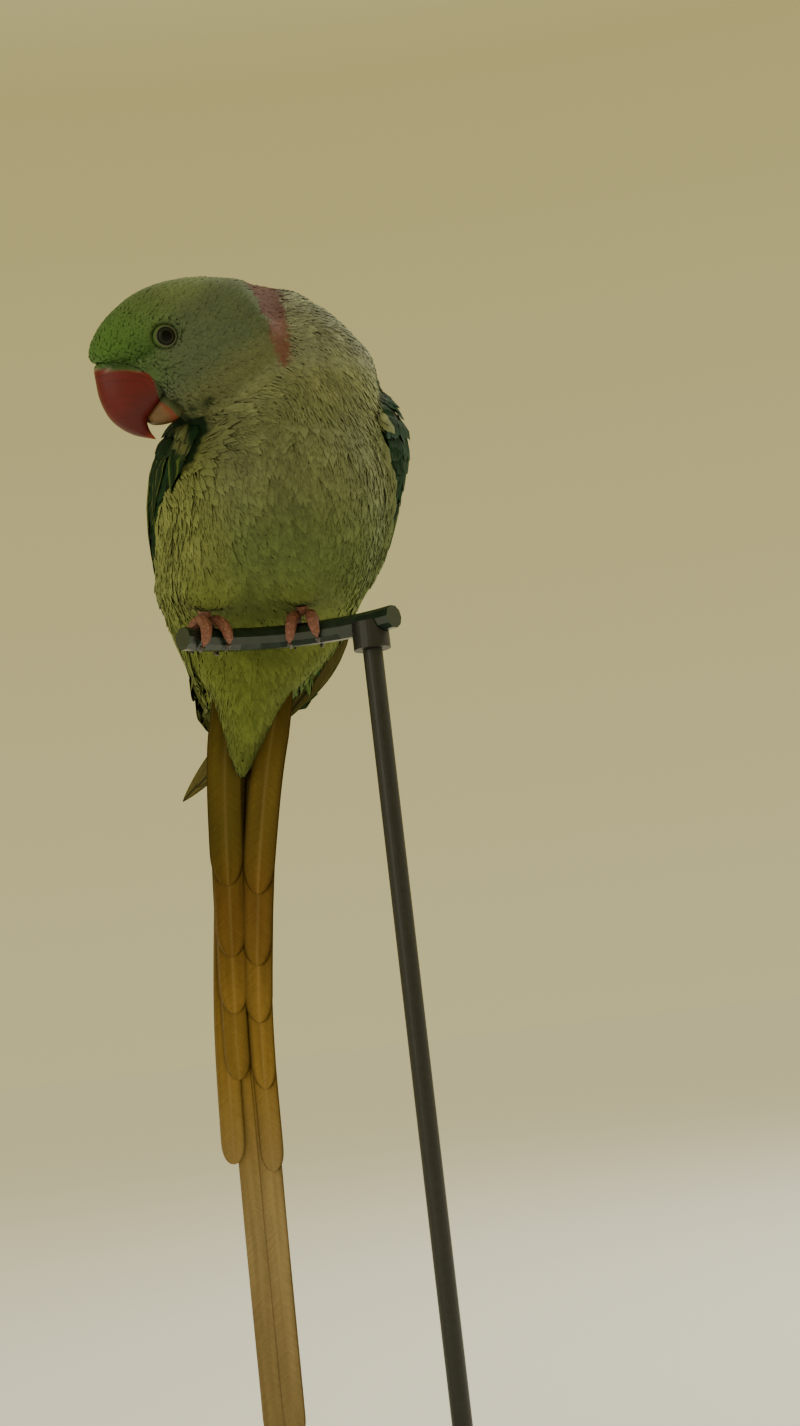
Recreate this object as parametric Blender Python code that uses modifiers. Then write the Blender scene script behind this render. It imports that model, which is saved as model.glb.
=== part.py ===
import math

import bmesh
import bpy
import numpy as np
from mathutils import Matrix, Vector

# A life-size Alexandrine parakeet on a short length of round rod, held by a display stand.
# Tables and sizes are in millimetres, and MM turns them into metres. X runs to the bird's left,
# Y to its back and Z up, from the middle of the stand's underside.
MM = 0.001
GAP = 0.4

BASE_RADIUS = 95.0
BASE_HEIGHT = 12.0
POST_RADIUS = 4.0
SADDLE_RADIUS = 7.5
SADDLE_DEPTH = 11.0

PERCH_RADIUS = 4.75
PERCH_BEND = 60.0
PERCH_CENTRE = Vector((10.0, -59.0, 368.0))
PERCH_ENDS = (-48.0, 42.0)
POST_TURN = 30.0
FOOT_TURNS = {"right": -36.0, "left": 3.0}

HEAD_CENTRE = Vector((-20.5, -33.0, 487.7))
HEAD_PITCH = 33.0
HEAD_ROLL = 14.0
HEAD_YAW = 4.0
EYE_PLACE = (8.6, 3.6)
EYE_SIDE = 15.4
EYE_RADIUS = 5.0
COLLAR = ((-35.0, 3.5), (-25.9, -30.0))

BODY_YAW = 12.0

# forward, underside, top, half width: from the forehead back to the nape, in the head's own axes
HEAD_RINGS = (
    (36.6, 13.8, 13.8, 0.0),
    (36.0, 9.5, 17.2, 5.5),
    (33.5, 6.0, 19.4, 9.0),
    (30.0, 3.0, 21.6, 11.5),
    (26.0, -1.0, 23.4, 13.6),
    (22.3, -14.0, 24.6, 15.5),
    (20.0, -23.2, 25.2, 16.8),
    (15.5, -27.4, 25.8, 17.8),
    (9.0, -30.8, 26.2, 19.0),
    (2.0, -34.2, 25.2, 20.0),
    (-6.0, -36.4, 23.0, 20.8),
    (-14.0, -36.8, 19.6, 21.5),
    (-21.0, -35.0, 15.4, 21.8),
    (-28.0, -32.0, 9.8, 21.5),
    (-34.0, -29.0, 4.6, 20.5),
    (-40.0, -24.0, -1.5, 17.0),
    (-46.0, -12.0, -12.0, 0.0),
)

# height, middle, half width, front, back: from the nape down to the base of the neck
NECK_RINGS = (
    (512.0, 13.0, 0.0, -14.0, -14.0),
    (508.0, 14.5, 10.0, -24.0, -2.0),
    (502.0, 16.0, 18.0, -29.0, 5.0),
    (494.0, 17.5, 25.0, -33.0, 12.0),
    (486.0, 18.5, 31.0, -36.0, 18.0),
    (478.0, 19.0, 35.5, -36.0, 23.0),
    (468.0, 18.5, 37.5, -35.0, 28.0),
    (458.0, 17.0, 38.5, -36.0, 31.0),
    (448.0, 15.0, 36.0, -36.0, 31.0),
    (440.0, 14.0, 24.0, -26.0, 22.0),
    (434.0, 13.0, 0.0, -4.0, -4.0),
)

# the same for the trunk, from between the shoulders down to the tip of the undertail coverts
TRUNK_RINGS = (
    (482.0, 16.0, 0.0, 4.0, 4.0),
    (478.0, 16.0, 20.0, -14.0, 20.0),
    (472.0, 15.8, 31.0, -23.0, 29.0),
    (463.0, 14.8, 39.5, -31.0, 36.0),
    (450.0, 12.8, 45.0, -38.5, 40.0),
    (434.0, 10.2, 47.5, -44.5, 42.0),
    (419.0, 7.3, 47.5, -45.5, 45.5),
    (404.0, 4.0, 46.0, -42.0, 48.0),
    (394.0, 1.0, 43.2, -36.0, 50.0),
    (388.0, -0.8, 41.0, -28.0, 50.8),
    (383.5, -2.2, 39.2, -15.0, 51.3),
    (379.0, -3.6, 37.3, 5.0, 52.0),
    (372.0, -5.8, 34.5, 15.0, 52.5),
    (362.0, -9.4, 29.0, 17.0, 53.0),
    (351.0, -13.0, 22.5, 20.0, 53.0),
    (341.0, -16.4, 16.0, 25.0, 52.0),
    (332.0, -19.2, 10.5, 31.0, 51.0),
    (323.0, -21.6, 5.6, 37.0, 50.0),
    (316.0, -23.2, 0.0, 44.0, 44.0),
)

# height, angle of the leading and the trailing edge round the trunk, thickness
WING_RINGS = (
    (474.0, 14.0, 14.0, 0.0),
    (471.0, -6.0, 40.0, 4.0),
    (463.0, -28.0, 57.0, 6.5),
    (452.0, -40.0, 70.0, 8.5),
    (438.0, -34.0, 79.0, 8.0),
    (424.0, -22.0, 84.0, 6.5),
    (410.0, -10.0, 86.0, 5.5),
    (396.0, 2.0, 86.0, 5.0),
    (382.0, 14.0, 86.0, 4.5),
    (367.0, 28.0, 86.0, 4.0),
    (352.0, 44.0, 86.0, 3.2),
    (338.0, 62.0, 84.0, 2.5),
    (330.0, 74.0, 74.0, 0.0),
)
WING_ROOT_DEPTH = 3.0

# the folded primaries past the rump: x, y, z of the middle, half width
PRIMARY_RINGS = {
    "left": (
        (26.0, 46.0, 384.0, 0.0),
        (12.0, 54.0, 366.0, 12.0),
        (-4.0, 59.5, 350.0, 13.0),
        (-20.0, 63.5, 336.0, 10.0),
        (-36.0, 66.5, 324.0, 6.0),
        (-51.0, 68.5, 313.5, 0.0),
    ),
    "right": (
        (-33.0, 42.0, 388.0, 0.0),
        (-30.0, 50.0, 366.0, 11.0),
        (-27.0, 55.5, 345.0, 12.0),
        (-24.0, 59.0, 324.0, 10.0),
        (-21.0, 61.5, 304.0, 6.0),
        (-18.0, 63.5, 284.0, 0.0),
    ),
}
PRIMARY_HALF_THICKNESS = 1.5

# height, x and y of the tail's middle line, from inside the vent to the longest tips
TAIL_LINE = (
    (362.0, -12.0, 44.0),
    (346.0, -15.6, 47.0),
    (328.0, -20.0, 50.0),
    (290.0, -25.5, 56.0),
    (258.0, -28.6, 60.5),
    (220.0, -31.6, 65.0),
    (157.0, -33.5, 72.0),
    (40.0, -35.6, 84.0),
)
# height of the tip, half width, offset at the root, then at the tip on the bird's right and left,
# middle pair first
TAIL_PAIRS = (
    (40.0, 5.3, 4.0, 4.3, 4.3),
    (157.0, 5.6, 5.4, 10.8, 5.6),
    (192.0, 6.0, 6.6, 5.4, 5.4),
    (220.0, 6.6, 7.6, 4.6, 4.6),
    (244.0, 7.2, 8.4, 4.4, 4.4),
    (274.0, 7.4, 9.0, 4.6, 4.6),
)
TAIL_LAYER = 0.9
TAIL_EDGE = 0.35
TAIL_CAMBER = 0.018
LEFT_IS_SHORTER = 5.0

# forward and up of the culmen, then of the cutting edge, and the half width, in the head's axes
UPPER_BILL_RINGS = (
    (27.0, 9.0, 17.0, -5.0, 0.0),
    (34.0, 12.2, 17.0, -10.0, 8.2),
    (39.1, 8.0, 18.4, -14.0, 9.2),
    (41.6, 2.3, 20.6, -16.4, 9.0),
    (42.8, -4.4, 24.0, -17.6, 8.2),
    (42.8, -11.0, 27.4, -18.4, 7.2),
    (41.2, -16.7, 30.4, -19.4, 5.6),
    (38.3, -21.5, 32.8, -21.0, 3.6),
    (36.4, -24.6, 33.8, -23.8, 1.9),
    (34.6, -27.4, 34.4, -27.2, 0.0),
)
LOWER_BILL_RINGS = (
    (12.0, -19.0, 12.0, -19.0, 0.0),
    (14.5, -14.0, 14.0, -23.0, 7.2),
    (19.0, -14.0, 18.6, -24.8, 7.6),
    (23.0, -15.5, 22.8, -24.6, 6.8),
    (26.6, -16.5, 26.6, -23.7, 5.2),
    (29.4, -17.6, 29.6, -22.2, 3.4),
    (31.0, -20.0, 31.0, -20.0, 0.0),
)


def drop_everything():
    for thing in list(bpy.data.objects):
        bpy.data.objects.remove(thing)


def collection(name):
    made = bpy.data.collections.new(name)
    bpy.context.scene.collection.children.link(made)
    return made


def coat_of(name, colour, roughness, metallic=0.0):
    made = bpy.data.materials.new(name)
    made.use_nodes = True
    shader = made.node_tree.nodes["Principled BSDF"]
    shader.inputs["Base Color"].default_value = (*colour, 1.0)
    shader.inputs["Roughness"].default_value = roughness
    shader.inputs["Metallic"].default_value = metallic
    return made


# A smooth curve through rows of numbers, read at any place between the first row and the last.
def through(places, rows):
    places = np.array(places, float)
    rows = np.array(rows, float)
    if places[0] > places[-1]:
        places, rows = places[::-1], rows[::-1]
    slopes = np.gradient(rows, places, axis=0)

    def read(place):
        left = int(np.clip(np.searchsorted(places, place) - 1, 0, len(places) - 2))
        span = places[left + 1] - places[left]
        s = min(1.0, max(0.0, (place - places[left]) / span))
        start, end = rows[left], rows[left + 1]
        return (
            (2 * s**3 - 3 * s**2 + 1) * start
            + (s**3 - 2 * s**2 + s) * span * slopes[left]
            + (3 * s**2 - 2 * s**3) * end
            + (s**3 - s**2) * span * slopes[left + 1]
        )

    return read


def along(rows):
    return through(np.linspace(0.0, 1.0, len(rows)), rows)


# A ball drawn out into a form: place gives the point for a share of the way from the first pole
# to the last, and for a turn around that way. A cutter is grown by the gap to its neighbours.
def form(name, around, rings, place, group, material=None, grow=0.0):
    shape = bmesh.new()
    bmesh.ops.create_uvsphere(shape, u_segments=around, v_segments=rings, radius=1.0)
    for corner in shape.verts:
        share = math.acos(max(-1.0, min(1.0, corner.co.z))) / math.pi
        turn = math.atan2(corner.co.y, corner.co.x)
        corner.co = Vector(place(share, turn)) * MM
    bmesh.ops.triangulate(shape, faces=shape.faces, quad_method="FIXED")
    face_outward(shape)
    for corner in shape.verts:
        corner.co += corner.normal * grow * MM
    return finished(name, shape, group, material)


def face_outward(shape):
    if shape.calc_volume(signed=True) < 0:
        bmesh.ops.reverse_faces(shape, faces=shape.faces)
    shape.normal_update()


def finished(name, shape, group, material=None):
    face_outward(shape)
    mesh = bpy.data.meshes.new(name)
    shape.to_mesh(mesh)
    shape.free()
    mesh.shade_smooth()
    mesh.set_sharp_from_angle(angle=math.radians(40))
    made = bpy.data.objects.new(name, mesh)
    group.objects.link(made)
    if group is cutters:
        made.hide_render = True
        made.display_type = "WIRE"
    if material is not None:
        mesh.materials.append(material)
    return made


def cut(target, cutter):
    step = target.modifiers.new(f"less {cutter.name}", "BOOLEAN")
    step.operation = "DIFFERENCE"
    step.object = cutter


def join(target, other):
    step = target.modifiers.new(f"with {other.name}", "BOOLEAN")
    step.operation = "UNION"
    step.object = other


drop_everything()
parts = collection("alexandrine_parakeet")
cutters = collection("cutters")

GREEN_HEAD = coat_of("head feathers", (0.12, 0.20, 0.05), 0.8)
GREEN_NECK = coat_of("neck feathers", (0.17, 0.22, 0.10), 0.85)
GREEN_BODY = coat_of("body feathers", (0.16, 0.23, 0.06), 0.85)
GREEN_WING = coat_of("wing feathers", (0.03, 0.11, 0.03), 0.7)
YELLOW_TAIL = coat_of("tail feathers", (0.30, 0.22, 0.06), 0.7)
RED_BILL = coat_of("red bill horn", (0.50, 0.03, 0.02), 0.35)
DARK_EYE = coat_of("eye", (0.02, 0.02, 0.02), 0.1)
PINK_SKIN = coat_of("foot skin", (0.33, 0.20, 0.15), 0.7)
GREY_CLAW = coat_of("claw horn", (0.09, 0.08, 0.07), 0.4)
GREEN_PAINT = coat_of("dark green paint", (0.01, 0.02, 0.017), 0.35)
BLACK_PAINT = coat_of("matt black paint", (0.02, 0.02, 0.02), 0.5)


# Head

def head_axes():
    pitch, roll = math.radians(HEAD_PITCH), math.radians(HEAD_ROLL)
    turned = Matrix.Rotation(math.radians(HEAD_YAW), 3, "Z")
    forward = Vector((-math.cos(pitch), 0.0, -math.sin(pitch)))
    up = Vector((-math.sin(pitch), 0.0, math.cos(pitch)))
    side = Vector((0.0, -1.0, 0.0))
    tilted_up = up * math.cos(roll) + side * math.sin(roll)
    tilted_side = side * math.cos(roll) - up * math.sin(roll)
    return turned @ forward, turned @ tilted_up, turned @ tilted_side


FORWARD, UP, SIDE = head_axes()


def in_head(forward, up, side=0.0):
    return HEAD_CENTRE + FORWARD * forward + UP * up + SIDE * side


def head_form(name, grow, group, material=None):
    ring = along(HEAD_RINGS)

    def place(share, turn):
        forward, under, top, half = ring(share)
        up = (top + under) / 2 + (top - under) / 2 * math.sin(turn)
        return in_head(forward, up, half * math.cos(turn))

    made = form(name, 18, 16, place, group, material, grow)
    cut(made, behind_collar(f"behind {name}", grow))
    return made


# A block whose front face is the plane of the collar, where the head ends.
def behind_collar(name, grow):
    (top_forward, top_up), (low_forward, low_up) = COLLAR
    down = (in_head(low_forward, low_up) - in_head(top_forward, top_up)).normalized()
    back = down.cross(SIDE).normalized()
    if back.dot(FORWARD) > 0:
        back = -back
    size = 200.0
    middle = in_head((top_forward + low_forward) / 2, (top_up + low_up) / 2)
    centre = middle + back * (size / 2 + grow)
    shape = bmesh.new()
    turn = Matrix((back, SIDE, back.cross(SIDE))).transposed().to_4x4()
    bmesh.ops.create_cube(shape, size=size * MM, matrix=Matrix.Translation(centre * MM) @ turn)
    return finished(name, shape, cutters)


def bill_form(name, rings, levels, grow, group, material=None):
    ring = along(rings)

    def place(share, turn):
        top_forward, top_up, low_forward, low_up, half = ring(share)
        top, low = Vector((top_forward, top_up)), Vector((low_forward, low_up))
        spot = (top + low) / 2 + (top - low) / 2 * math.sin(turn)
        return in_head(spot.x, spot.y, half * math.cos(turn))

    return form(name, 14, levels, place, group, material, grow)


head = head_form("head", 0.0, parts, GREEN_HEAD)
bill_upper = bill_form("bill_upper", UPPER_BILL_RINGS, 16, 0.0, parts, RED_BILL)
bill_lower = bill_form("bill_lower", LOWER_BILL_RINGS, 10, 0.0, parts, RED_BILL)
upper_room = bill_form("upper bill room", UPPER_BILL_RINGS, 16, GAP, cutters)
cut(head, upper_room)
cut(head, bill_form("lower bill room", LOWER_BILL_RINGS, 10, GAP, cutters))
cut(bill_lower, upper_room)

for side_name, side in (("left", 1), ("right", -1)):
    centre = in_head(*EYE_PLACE, side * EYE_SIDE)

    def eye_place(share, turn):
        ring = FORWARD * math.cos(turn) + UP * math.sin(turn)
        return centre + (SIDE * math.cos(math.pi * share) + ring * math.sin(math.pi * share)) * EYE_RADIUS

    form(f"eye_{side_name}", 14, 8, eye_place, parts, DARK_EYE)
    cut(head, form(f"{side_name} eye room", 14, 8, eye_place, cutters, grow=GAP))


# Neck and trunk

# A point on a level ring of the trunk or neck, round from the bird's left by the back.
def on_ring(ring, turn, yaw, outward=0.0):
    height, middle, half, front, back = ring
    lateral = (half + outward) * math.cos(turn)
    depth = ((back - front) / 2 + outward) * math.sin(turn)
    return Vector(
        (
            middle + lateral * math.cos(yaw) - depth * math.sin(yaw),
            (front + back) / 2 + lateral * math.sin(yaw) + depth * math.cos(yaw),
            height,
        )
    )


def flesh_form(name, rings, yaw, around, levels, grow, group, material=None):
    ring = along(rings)

    def place(share, turn):
        return on_ring(ring(share), turn, yaw)

    return form(name, around, levels, place, group, material, grow)


YAW = math.radians(BODY_YAW)
neck = flesh_form("neck", NECK_RINGS, 0.0, 20, 12, 0.0, parts, GREEN_NECK)
trunk = flesh_form("trunk", TRUNK_RINGS, YAW, 24, 20, 0.0, parts, GREEN_BODY)
neck_room = flesh_form("neck room", NECK_RINGS, 0.0, 20, 12, GAP, cutters)
trunk_room = flesh_form("trunk room", TRUNK_RINGS, YAW, 24, 20, GAP, cutters)
head_room = head_form("head room", GAP, cutters)
cut(neck, head_room)
cut(trunk, head_room)
cut(trunk, neck_room)


# Wings: each a cushion that hugs the trunk, with the stack of folded primaries run out of it

TRUNK_AT = through([row[0] for row in TRUNK_RINGS], TRUNK_RINGS)


def wing_form(name, side, group, material=None, grow=0.0):
    ring = along(WING_RINGS)

    def place(share, turn):
        height, lead, trail, thick = ring(share)
        swing = math.radians((lead + trail) / 2 - (trail - lead) / 2 * math.cos(turn))
        outward = thick * math.sin(turn) if math.sin(turn) > 0 else WING_ROOT_DEPTH * math.sin(turn)
        around = swing if side > 0 else math.pi - swing
        return on_ring(TRUNK_AT(height), around, YAW, outward)

    return form(name, 14, 15, place, group, material, grow)


def primary_form(name, rings, grow, group):
    ring = along(rings)
    first, last = Vector(rings[0][:3]), Vector(rings[-1][:3])
    run = (last - first).normalized()
    outward = (Vector((0.0, 1.0, 0.0)) - run * run.y).normalized()
    across = run.cross(outward)

    def place(share, turn):
        x, y, z, half = ring(share)
        swell = PRIMARY_HALF_THICKNESS * math.sin(math.pi * share) ** 0.5
        return Vector((x, y, z)) + across * half * math.cos(turn) + outward * swell * math.sin(turn)

    return form(name, 8, 10, place, group, grow=grow)


wings = {}
for side_name, side in (("left", 1), ("right", -1)):
    wing = wing_form(f"wing_{side_name}", side, parts, GREEN_WING)
    join(wing, primary_form(f"{side_name} primaries", PRIMARY_RINGS[side_name], 0.0, cutters))
    cut(wing, trunk_room)
    cut(wing, neck_room)
    cut(wing, head_room)
    wings[side_name] = wing
cut(wings["right"], primary_form("left primaries room", PRIMARY_RINGS["left"], GAP, cutters))
cut(wings["right"], wing_form("left wing room", 1, cutters, grow=GAP))


# Tail: six graduated feathers a side, closed up, with the middle pair longest and on top

TAIL_AT = through([row[0] for row in TAIL_LINE], TAIL_LINE)
FEATHER_TAPER = along(((0.0,), (0.7,), (0.92,), (1.0,), (1.0,), (0.97,), (0.93,), (0.86,), (0.66,), (0.0,)))
TAIL_ROOT = TAIL_LINE[0][0]


# The inner and outer edge of one side of the tail at a height, and how deep the feathers lie there.
def tail_span(side, height):
    edges, depth = [], 0.0
    for rank, (tip, half, root_offset, right_offset, left_offset) in enumerate(TAIL_PAIRS):
        if side > 0 and rank:
            tip -= LEFT_IS_SHORTER
        gone = (TAIL_ROOT - height) / (TAIL_ROOT - tip)
        if gone <= 1:
            taper = float(FEATHER_TAPER(gone)[0])
            tip_offset = left_offset if side > 0 else right_offset
            offset = root_offset + (tip_offset - root_offset) * gone
            edges += [offset - half * taper, offset + half * taper]
            depth += TAIL_LAYER * min(1.0, 4 * taper)
    return edges[0], max(edges), depth


def tail_side(name, side, group, material=None):
    tip = TAIL_PAIRS[0][0]

    def place(share, turn):
        height = TAIL_ROOT + (tip - TAIL_ROOT) * share
        _, x, y = TAIL_AT(height)
        inner, outer, depth = tail_span(side, height)
        lateral = side * ((inner + outer) / 2 + (outer - inner) / 2 * math.cos(turn))
        thick = depth / 2 + TAIL_EDGE
        sag = TAIL_CAMBER * lateral**2
        return Vector((x + lateral, y - sag - depth / 2 + thick * math.sin(turn), height))

    return form(name, 8, 26, place, group, material)


tail = tail_side("tail", 1, parts, YELLOW_TAIL)
join(tail, tail_side("right side of tail", -1, cutters))
cut(tail, trunk_room)


# Perch

def perch_point(turn, out=0.0, lift=0.0):
    angle = math.radians(turn)
    outward = Vector((math.sin(angle), math.cos(angle), 0.0))
    return PERCH_CENTRE + outward * (PERCH_BEND + out) + Vector((0.0, 0.0, lift))


def perch_form(name, grow, group, material=None):
    curve = bpy.data.curves.new(name, "CURVE")
    curve.dimensions = "3D"
    curve.bevel_depth = (PERCH_RADIUS + grow) * MM
    curve.bevel_resolution = 3
    curve.use_fill_caps = True
    spline = curve.splines.new("POLY")
    spare = math.degrees(grow / PERCH_BEND)
    turns = np.linspace(PERCH_ENDS[0] - spare, PERCH_ENDS[1] + spare, 12)
    spline.points.add(len(turns) - 1)
    for point, turn in zip(spline.points, turns):
        point.co = (*(perch_point(turn) * MM), 1.0)
    guide = bpy.data.objects.new(name, curve)
    bpy.context.scene.collection.objects.link(guide)
    bpy.context.view_layer.update()
    evaluated = guide.evaluated_get(bpy.context.evaluated_depsgraph_get())
    shape = bmesh.new()
    shape.from_mesh(bpy.data.meshes.new_from_object(evaluated))
    bmesh.ops.remove_doubles(shape, verts=shape.verts, dist=0.00001)
    bmesh.ops.recalc_face_normals(shape, faces=shape.faces)
    bpy.data.objects.remove(guide)
    return finished(name, shape, group, material)


perch = perch_form("perch", 0.0, parts, GREEN_PAINT)
perch_room = perch_form("perch room", GAP, cutters)
cut(trunk, perch_room)


# Legs and feet

TOES = (
    # ahead or behind, offset along the rod at the root and the end, reach round the rod in degrees
    (1, -2.8, -6.0, 128.0),
    (1, 2.8, 5.6, 118.0),
    (-1, -2.6, -5.0, 112.0),
    (-1, 2.6, 6.2, 124.0),
)
TOE_ROOT_RADIUS = 2.9
TOE_END_RADIUS = 2.1
CLAW_SWEEP = 40.0
TARSUS_RADIUS = 3.2
THIGH_LEAD = 3.0


def limb(name, middle, radius, across, around, rings, group, material=None, grow=0.0):
    def place(share, turn):
        here, ahead, behind = middle(share), middle(min(1, share + 0.02)), middle(max(0, share - 0.02))
        run = (ahead - behind).normalized()
        out = run.cross(across).normalized()
        size = radius(share)
        return here + across * size * math.cos(turn) + out * size * math.sin(turn)

    return form(name, around, rings, place, group, material, grow)


def round_ends(share, sharpness=0.35):
    return math.sin(math.pi * share) ** sharpness


for side_name, turn in FOOT_TURNS.items():
    angle = math.radians(turn)
    outward = Vector((math.sin(angle), math.cos(angle), 0.0))
    rod_way = Vector((math.cos(angle), -math.sin(angle), 0.0))
    lift = Vector((0.0, 0.0, 1.0))
    rod = perch_point(turn)

    def wrapped(ahead, degrees, offset, radius):
        swing = math.radians(degrees)
        reach = PERCH_RADIUS + GAP + 0.1 + radius
        return rod + rod_way * offset + (lift * math.cos(swing) - outward * ahead * math.sin(swing)) * reach

    top = PERCH_RADIUS + GAP + 0.1 + TOE_ROOT_RADIUS

    def tarsus_middle(share):
        return rod + lift * (top - 0.6 + 17.0 * share) + outward * 3.0 * share

    foot = limb(
        f"foot_{side_name}",
        tarsus_middle,
        lambda share: TARSUS_RADIUS * round_ends(share, 0.3),
        rod_way,
        8,
        8,
        parts,
        PINK_SKIN,
    )
    for number, (ahead, start, end, sweep) in enumerate(TOES, 1):

        def toe_middle(share):
            size = TOE_ROOT_RADIUS + (TOE_END_RADIUS - TOE_ROOT_RADIUS) * share
            return wrapped(ahead, -14 + (sweep + 14) * share, start + (end - start) * share, size)

        def toe_radius(share):
            size = TOE_ROOT_RADIUS + (TOE_END_RADIUS - TOE_ROOT_RADIUS) * share
            return size * round_ends(share, 0.3)

        toe = limb(f"toe {side_name} {number}", toe_middle, toe_radius, rod_way, 7, 7, cutters)
        join(foot, toe)
        room = limb(
            f"toe room {side_name} {number}",
            toe_middle,
            toe_radius,
            rod_way,
            7,
            7,
            cutters,
            grow=GAP,
        )

        def claw_middle(share):
            return wrapped(ahead, sweep - 8 + CLAW_SWEEP * share, end, 1.6 - 0.7 * share)

        claw = limb(
            f"claw_{side_name}_{number}",
            claw_middle,
            lambda share: 1.45 * min(1.0, 8 * share) ** 0.5 * (1 - share) ** 0.7,
            rod_way,
            6,
            5,
            parts,
            GREY_CLAW,
        )
        cut(claw, room)

    thigh_rings = (
        (396.0, 0.0),
        (393.0, 8.0),
        (388.0, 10.5),
        (383.0, 9.5),
        (380.6, 6.0),
        (379.4, 0.0),
    )
    thigh_ring = along(thigh_rings)

    def thigh_place(share, turn):
        height, half = thigh_ring(share)
        spread = Vector((half * math.cos(turn), half * 1.15 * math.sin(turn), height - rod.z))
        return rod - outward * THIGH_LEAD + spread

    leg = form(f"leg_{side_name}", 16, 10, thigh_place, parts, GREEN_BODY)
    cut(leg, trunk_room)
    leg_room = form(f"leg room {side_name}", 16, 10, thigh_place, cutters, grow=GAP)
    cut(foot, leg_room)
    cut(foot, trunk_room)
    cut(wings[side_name], leg_room)


# Stand

def turned_block(name, radius, bottom, top, centre, group, material, segments=48, bevel=0.0):
    shape = bmesh.new()
    bmesh.ops.create_cone(
        shape,
        cap_ends=True,
        segments=segments,
        radius1=radius * MM,
        radius2=radius * MM,
        depth=(top - bottom) * MM,
        matrix=Matrix.Translation(Vector((centre.x, centre.y, (top + bottom) / 2)) * MM),
    )
    made = finished(name, shape, group, material)
    if bevel:
        rounding = made.modifiers.new("rounded edge", "BEVEL")
        rounding.width = bevel * MM
        rounding.segments = 2
        rounding.limit_method = "ANGLE"
    return made


post_spot = perch_point(POST_TURN)
saddle_bottom = PERCH_CENTRE.z - SADDLE_DEPTH
turned_block("stand_base", BASE_RADIUS, 0.0, BASE_HEIGHT, Vector((0, 0)), parts, BLACK_PAINT, 40, 2.0)
turned_block(
    "stand_rod", POST_RADIUS, BASE_HEIGHT + GAP, saddle_bottom - GAP, post_spot, parts, BLACK_PAINT, 24
)
saddle = turned_block(
    "stand_saddle", SADDLE_RADIUS, saddle_bottom, PERCH_CENTRE.z, post_spot, parts, BLACK_PAINT, 32
)
cut(saddle, perch_room)
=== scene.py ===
import math
from itertools import product

import bmesh
import bpy
import numpy as np
from mathutils import Matrix, Vector, noise
from mathutils.bvhtree import BVHTree
from mathutils.kdtree import KDTree


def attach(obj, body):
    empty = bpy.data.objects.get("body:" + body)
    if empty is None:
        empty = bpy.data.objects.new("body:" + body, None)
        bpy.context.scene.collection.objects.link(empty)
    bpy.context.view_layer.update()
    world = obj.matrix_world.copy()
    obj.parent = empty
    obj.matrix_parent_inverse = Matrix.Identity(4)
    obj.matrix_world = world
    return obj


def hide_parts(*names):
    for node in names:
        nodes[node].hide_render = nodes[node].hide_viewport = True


# Alexandrine parakeet on a cut length of rod, on its display stand. Tables are in millimetres.
mm = 0.001

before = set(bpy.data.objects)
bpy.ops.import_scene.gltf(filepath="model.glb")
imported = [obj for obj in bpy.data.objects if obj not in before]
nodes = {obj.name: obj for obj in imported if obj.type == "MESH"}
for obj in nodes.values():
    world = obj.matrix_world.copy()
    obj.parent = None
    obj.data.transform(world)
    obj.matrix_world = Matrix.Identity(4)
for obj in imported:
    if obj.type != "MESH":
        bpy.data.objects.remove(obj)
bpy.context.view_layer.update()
world = bpy.context.scene.collection


def tint(code):
    # sRGB hex to linear
    out = []
    for i in (1, 3, 5):
        c = int(code[i:i + 2], 16) / 255
        out.append(c / 12.92 if c <= 0.04045 else ((c + 0.055) / 1.055) ** 2.4)
    return (*out, 1.0)


def tintsOf(codes):
    return {key: np.array(tint(code)[:3]) for key, code in codes.items()}


def newMaterial(name, **sockets):
    made = bpy.data.materials.new(name)
    made.use_nodes = True
    shader = made.node_tree.nodes["Principled BSDF"]
    for key, value in sockets.items():
        shader.inputs[key.replace("_", " ")].default_value = value
    return made, made.node_tree, shader


def addNode(tree, kind, settings=None, values=None, links=None):
    made = tree.nodes.new(kind)
    for key, value in (settings or {}).items():
        setattr(made, key, value)
    for key, value in (values or {}).items():
        made.inputs[key].default_value = value
    for key, (source, socket) in (links or {}).items():
        tree.links.new(source.outputs[socket], made.inputs[key])
    return made


def setRamp(ramp, stops):
    elements = ramp.color_ramp.elements
    while len(elements) < len(stops):
        elements.new(0.5)
    for element, (place, colour) in zip(elements, stops):
        element.position = place
        element.color = colour


def newPiece(name, shape, smooth=True):
    # a new object from a bmesh, which is used up
    mesh = bpy.data.meshes.new(name)
    shape.to_mesh(mesh)
    shape.free()
    if smooth:
        mesh.shade_smooth()
    made = bpy.data.objects.new(name, mesh)
    world.objects.link(made)
    return made


def mottled(tree, shader, first, second, share, low, high, depth):
    # two patterns mixed, which shade the markings and stand up a little; gives the shaded colour
    both = addNode(tree, "ShaderNodeMix", {"data_type": "FLOAT"}, {"Factor": share},
                   {2: (first, 0), 3: (second, 0)})
    shade = addNode(tree, "ShaderNodeMapRange",
                    values={"From Min": 0.3, "From Max": 0.7, "To Min": low, "To Max": high},
                    links={"Value": (both, 0)})
    bump = addNode(tree, "ShaderNodeBump", values={"Strength": depth, "Distance": 0.0004},
                   links={"Height": (both, 0)})
    tree.links.new(bump.outputs[0], shader.inputs["Normal"])
    marks = addNode(tree, "ShaderNodeAttribute", {"attribute_name": "plumage"})
    return addNode(tree, "ShaderNodeMix", {"data_type": "RGBA", "blend_type": "MULTIPLY"}, {"Factor": 1.0},
                   {6: (marks, "Color"), 7: (shade, 0)})


# Feather: matt keratin barbs with a soft sheen; the colour comes from the markings on each vane
featherLook = {"roughness": 0.8, "sheen": 0.06, "gloss": 0.2, "bump": 0.2, "barbs": 1150, "grain": 900,
               "shaft": "#6d6a3c", "shaftShare": 0.0}
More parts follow.
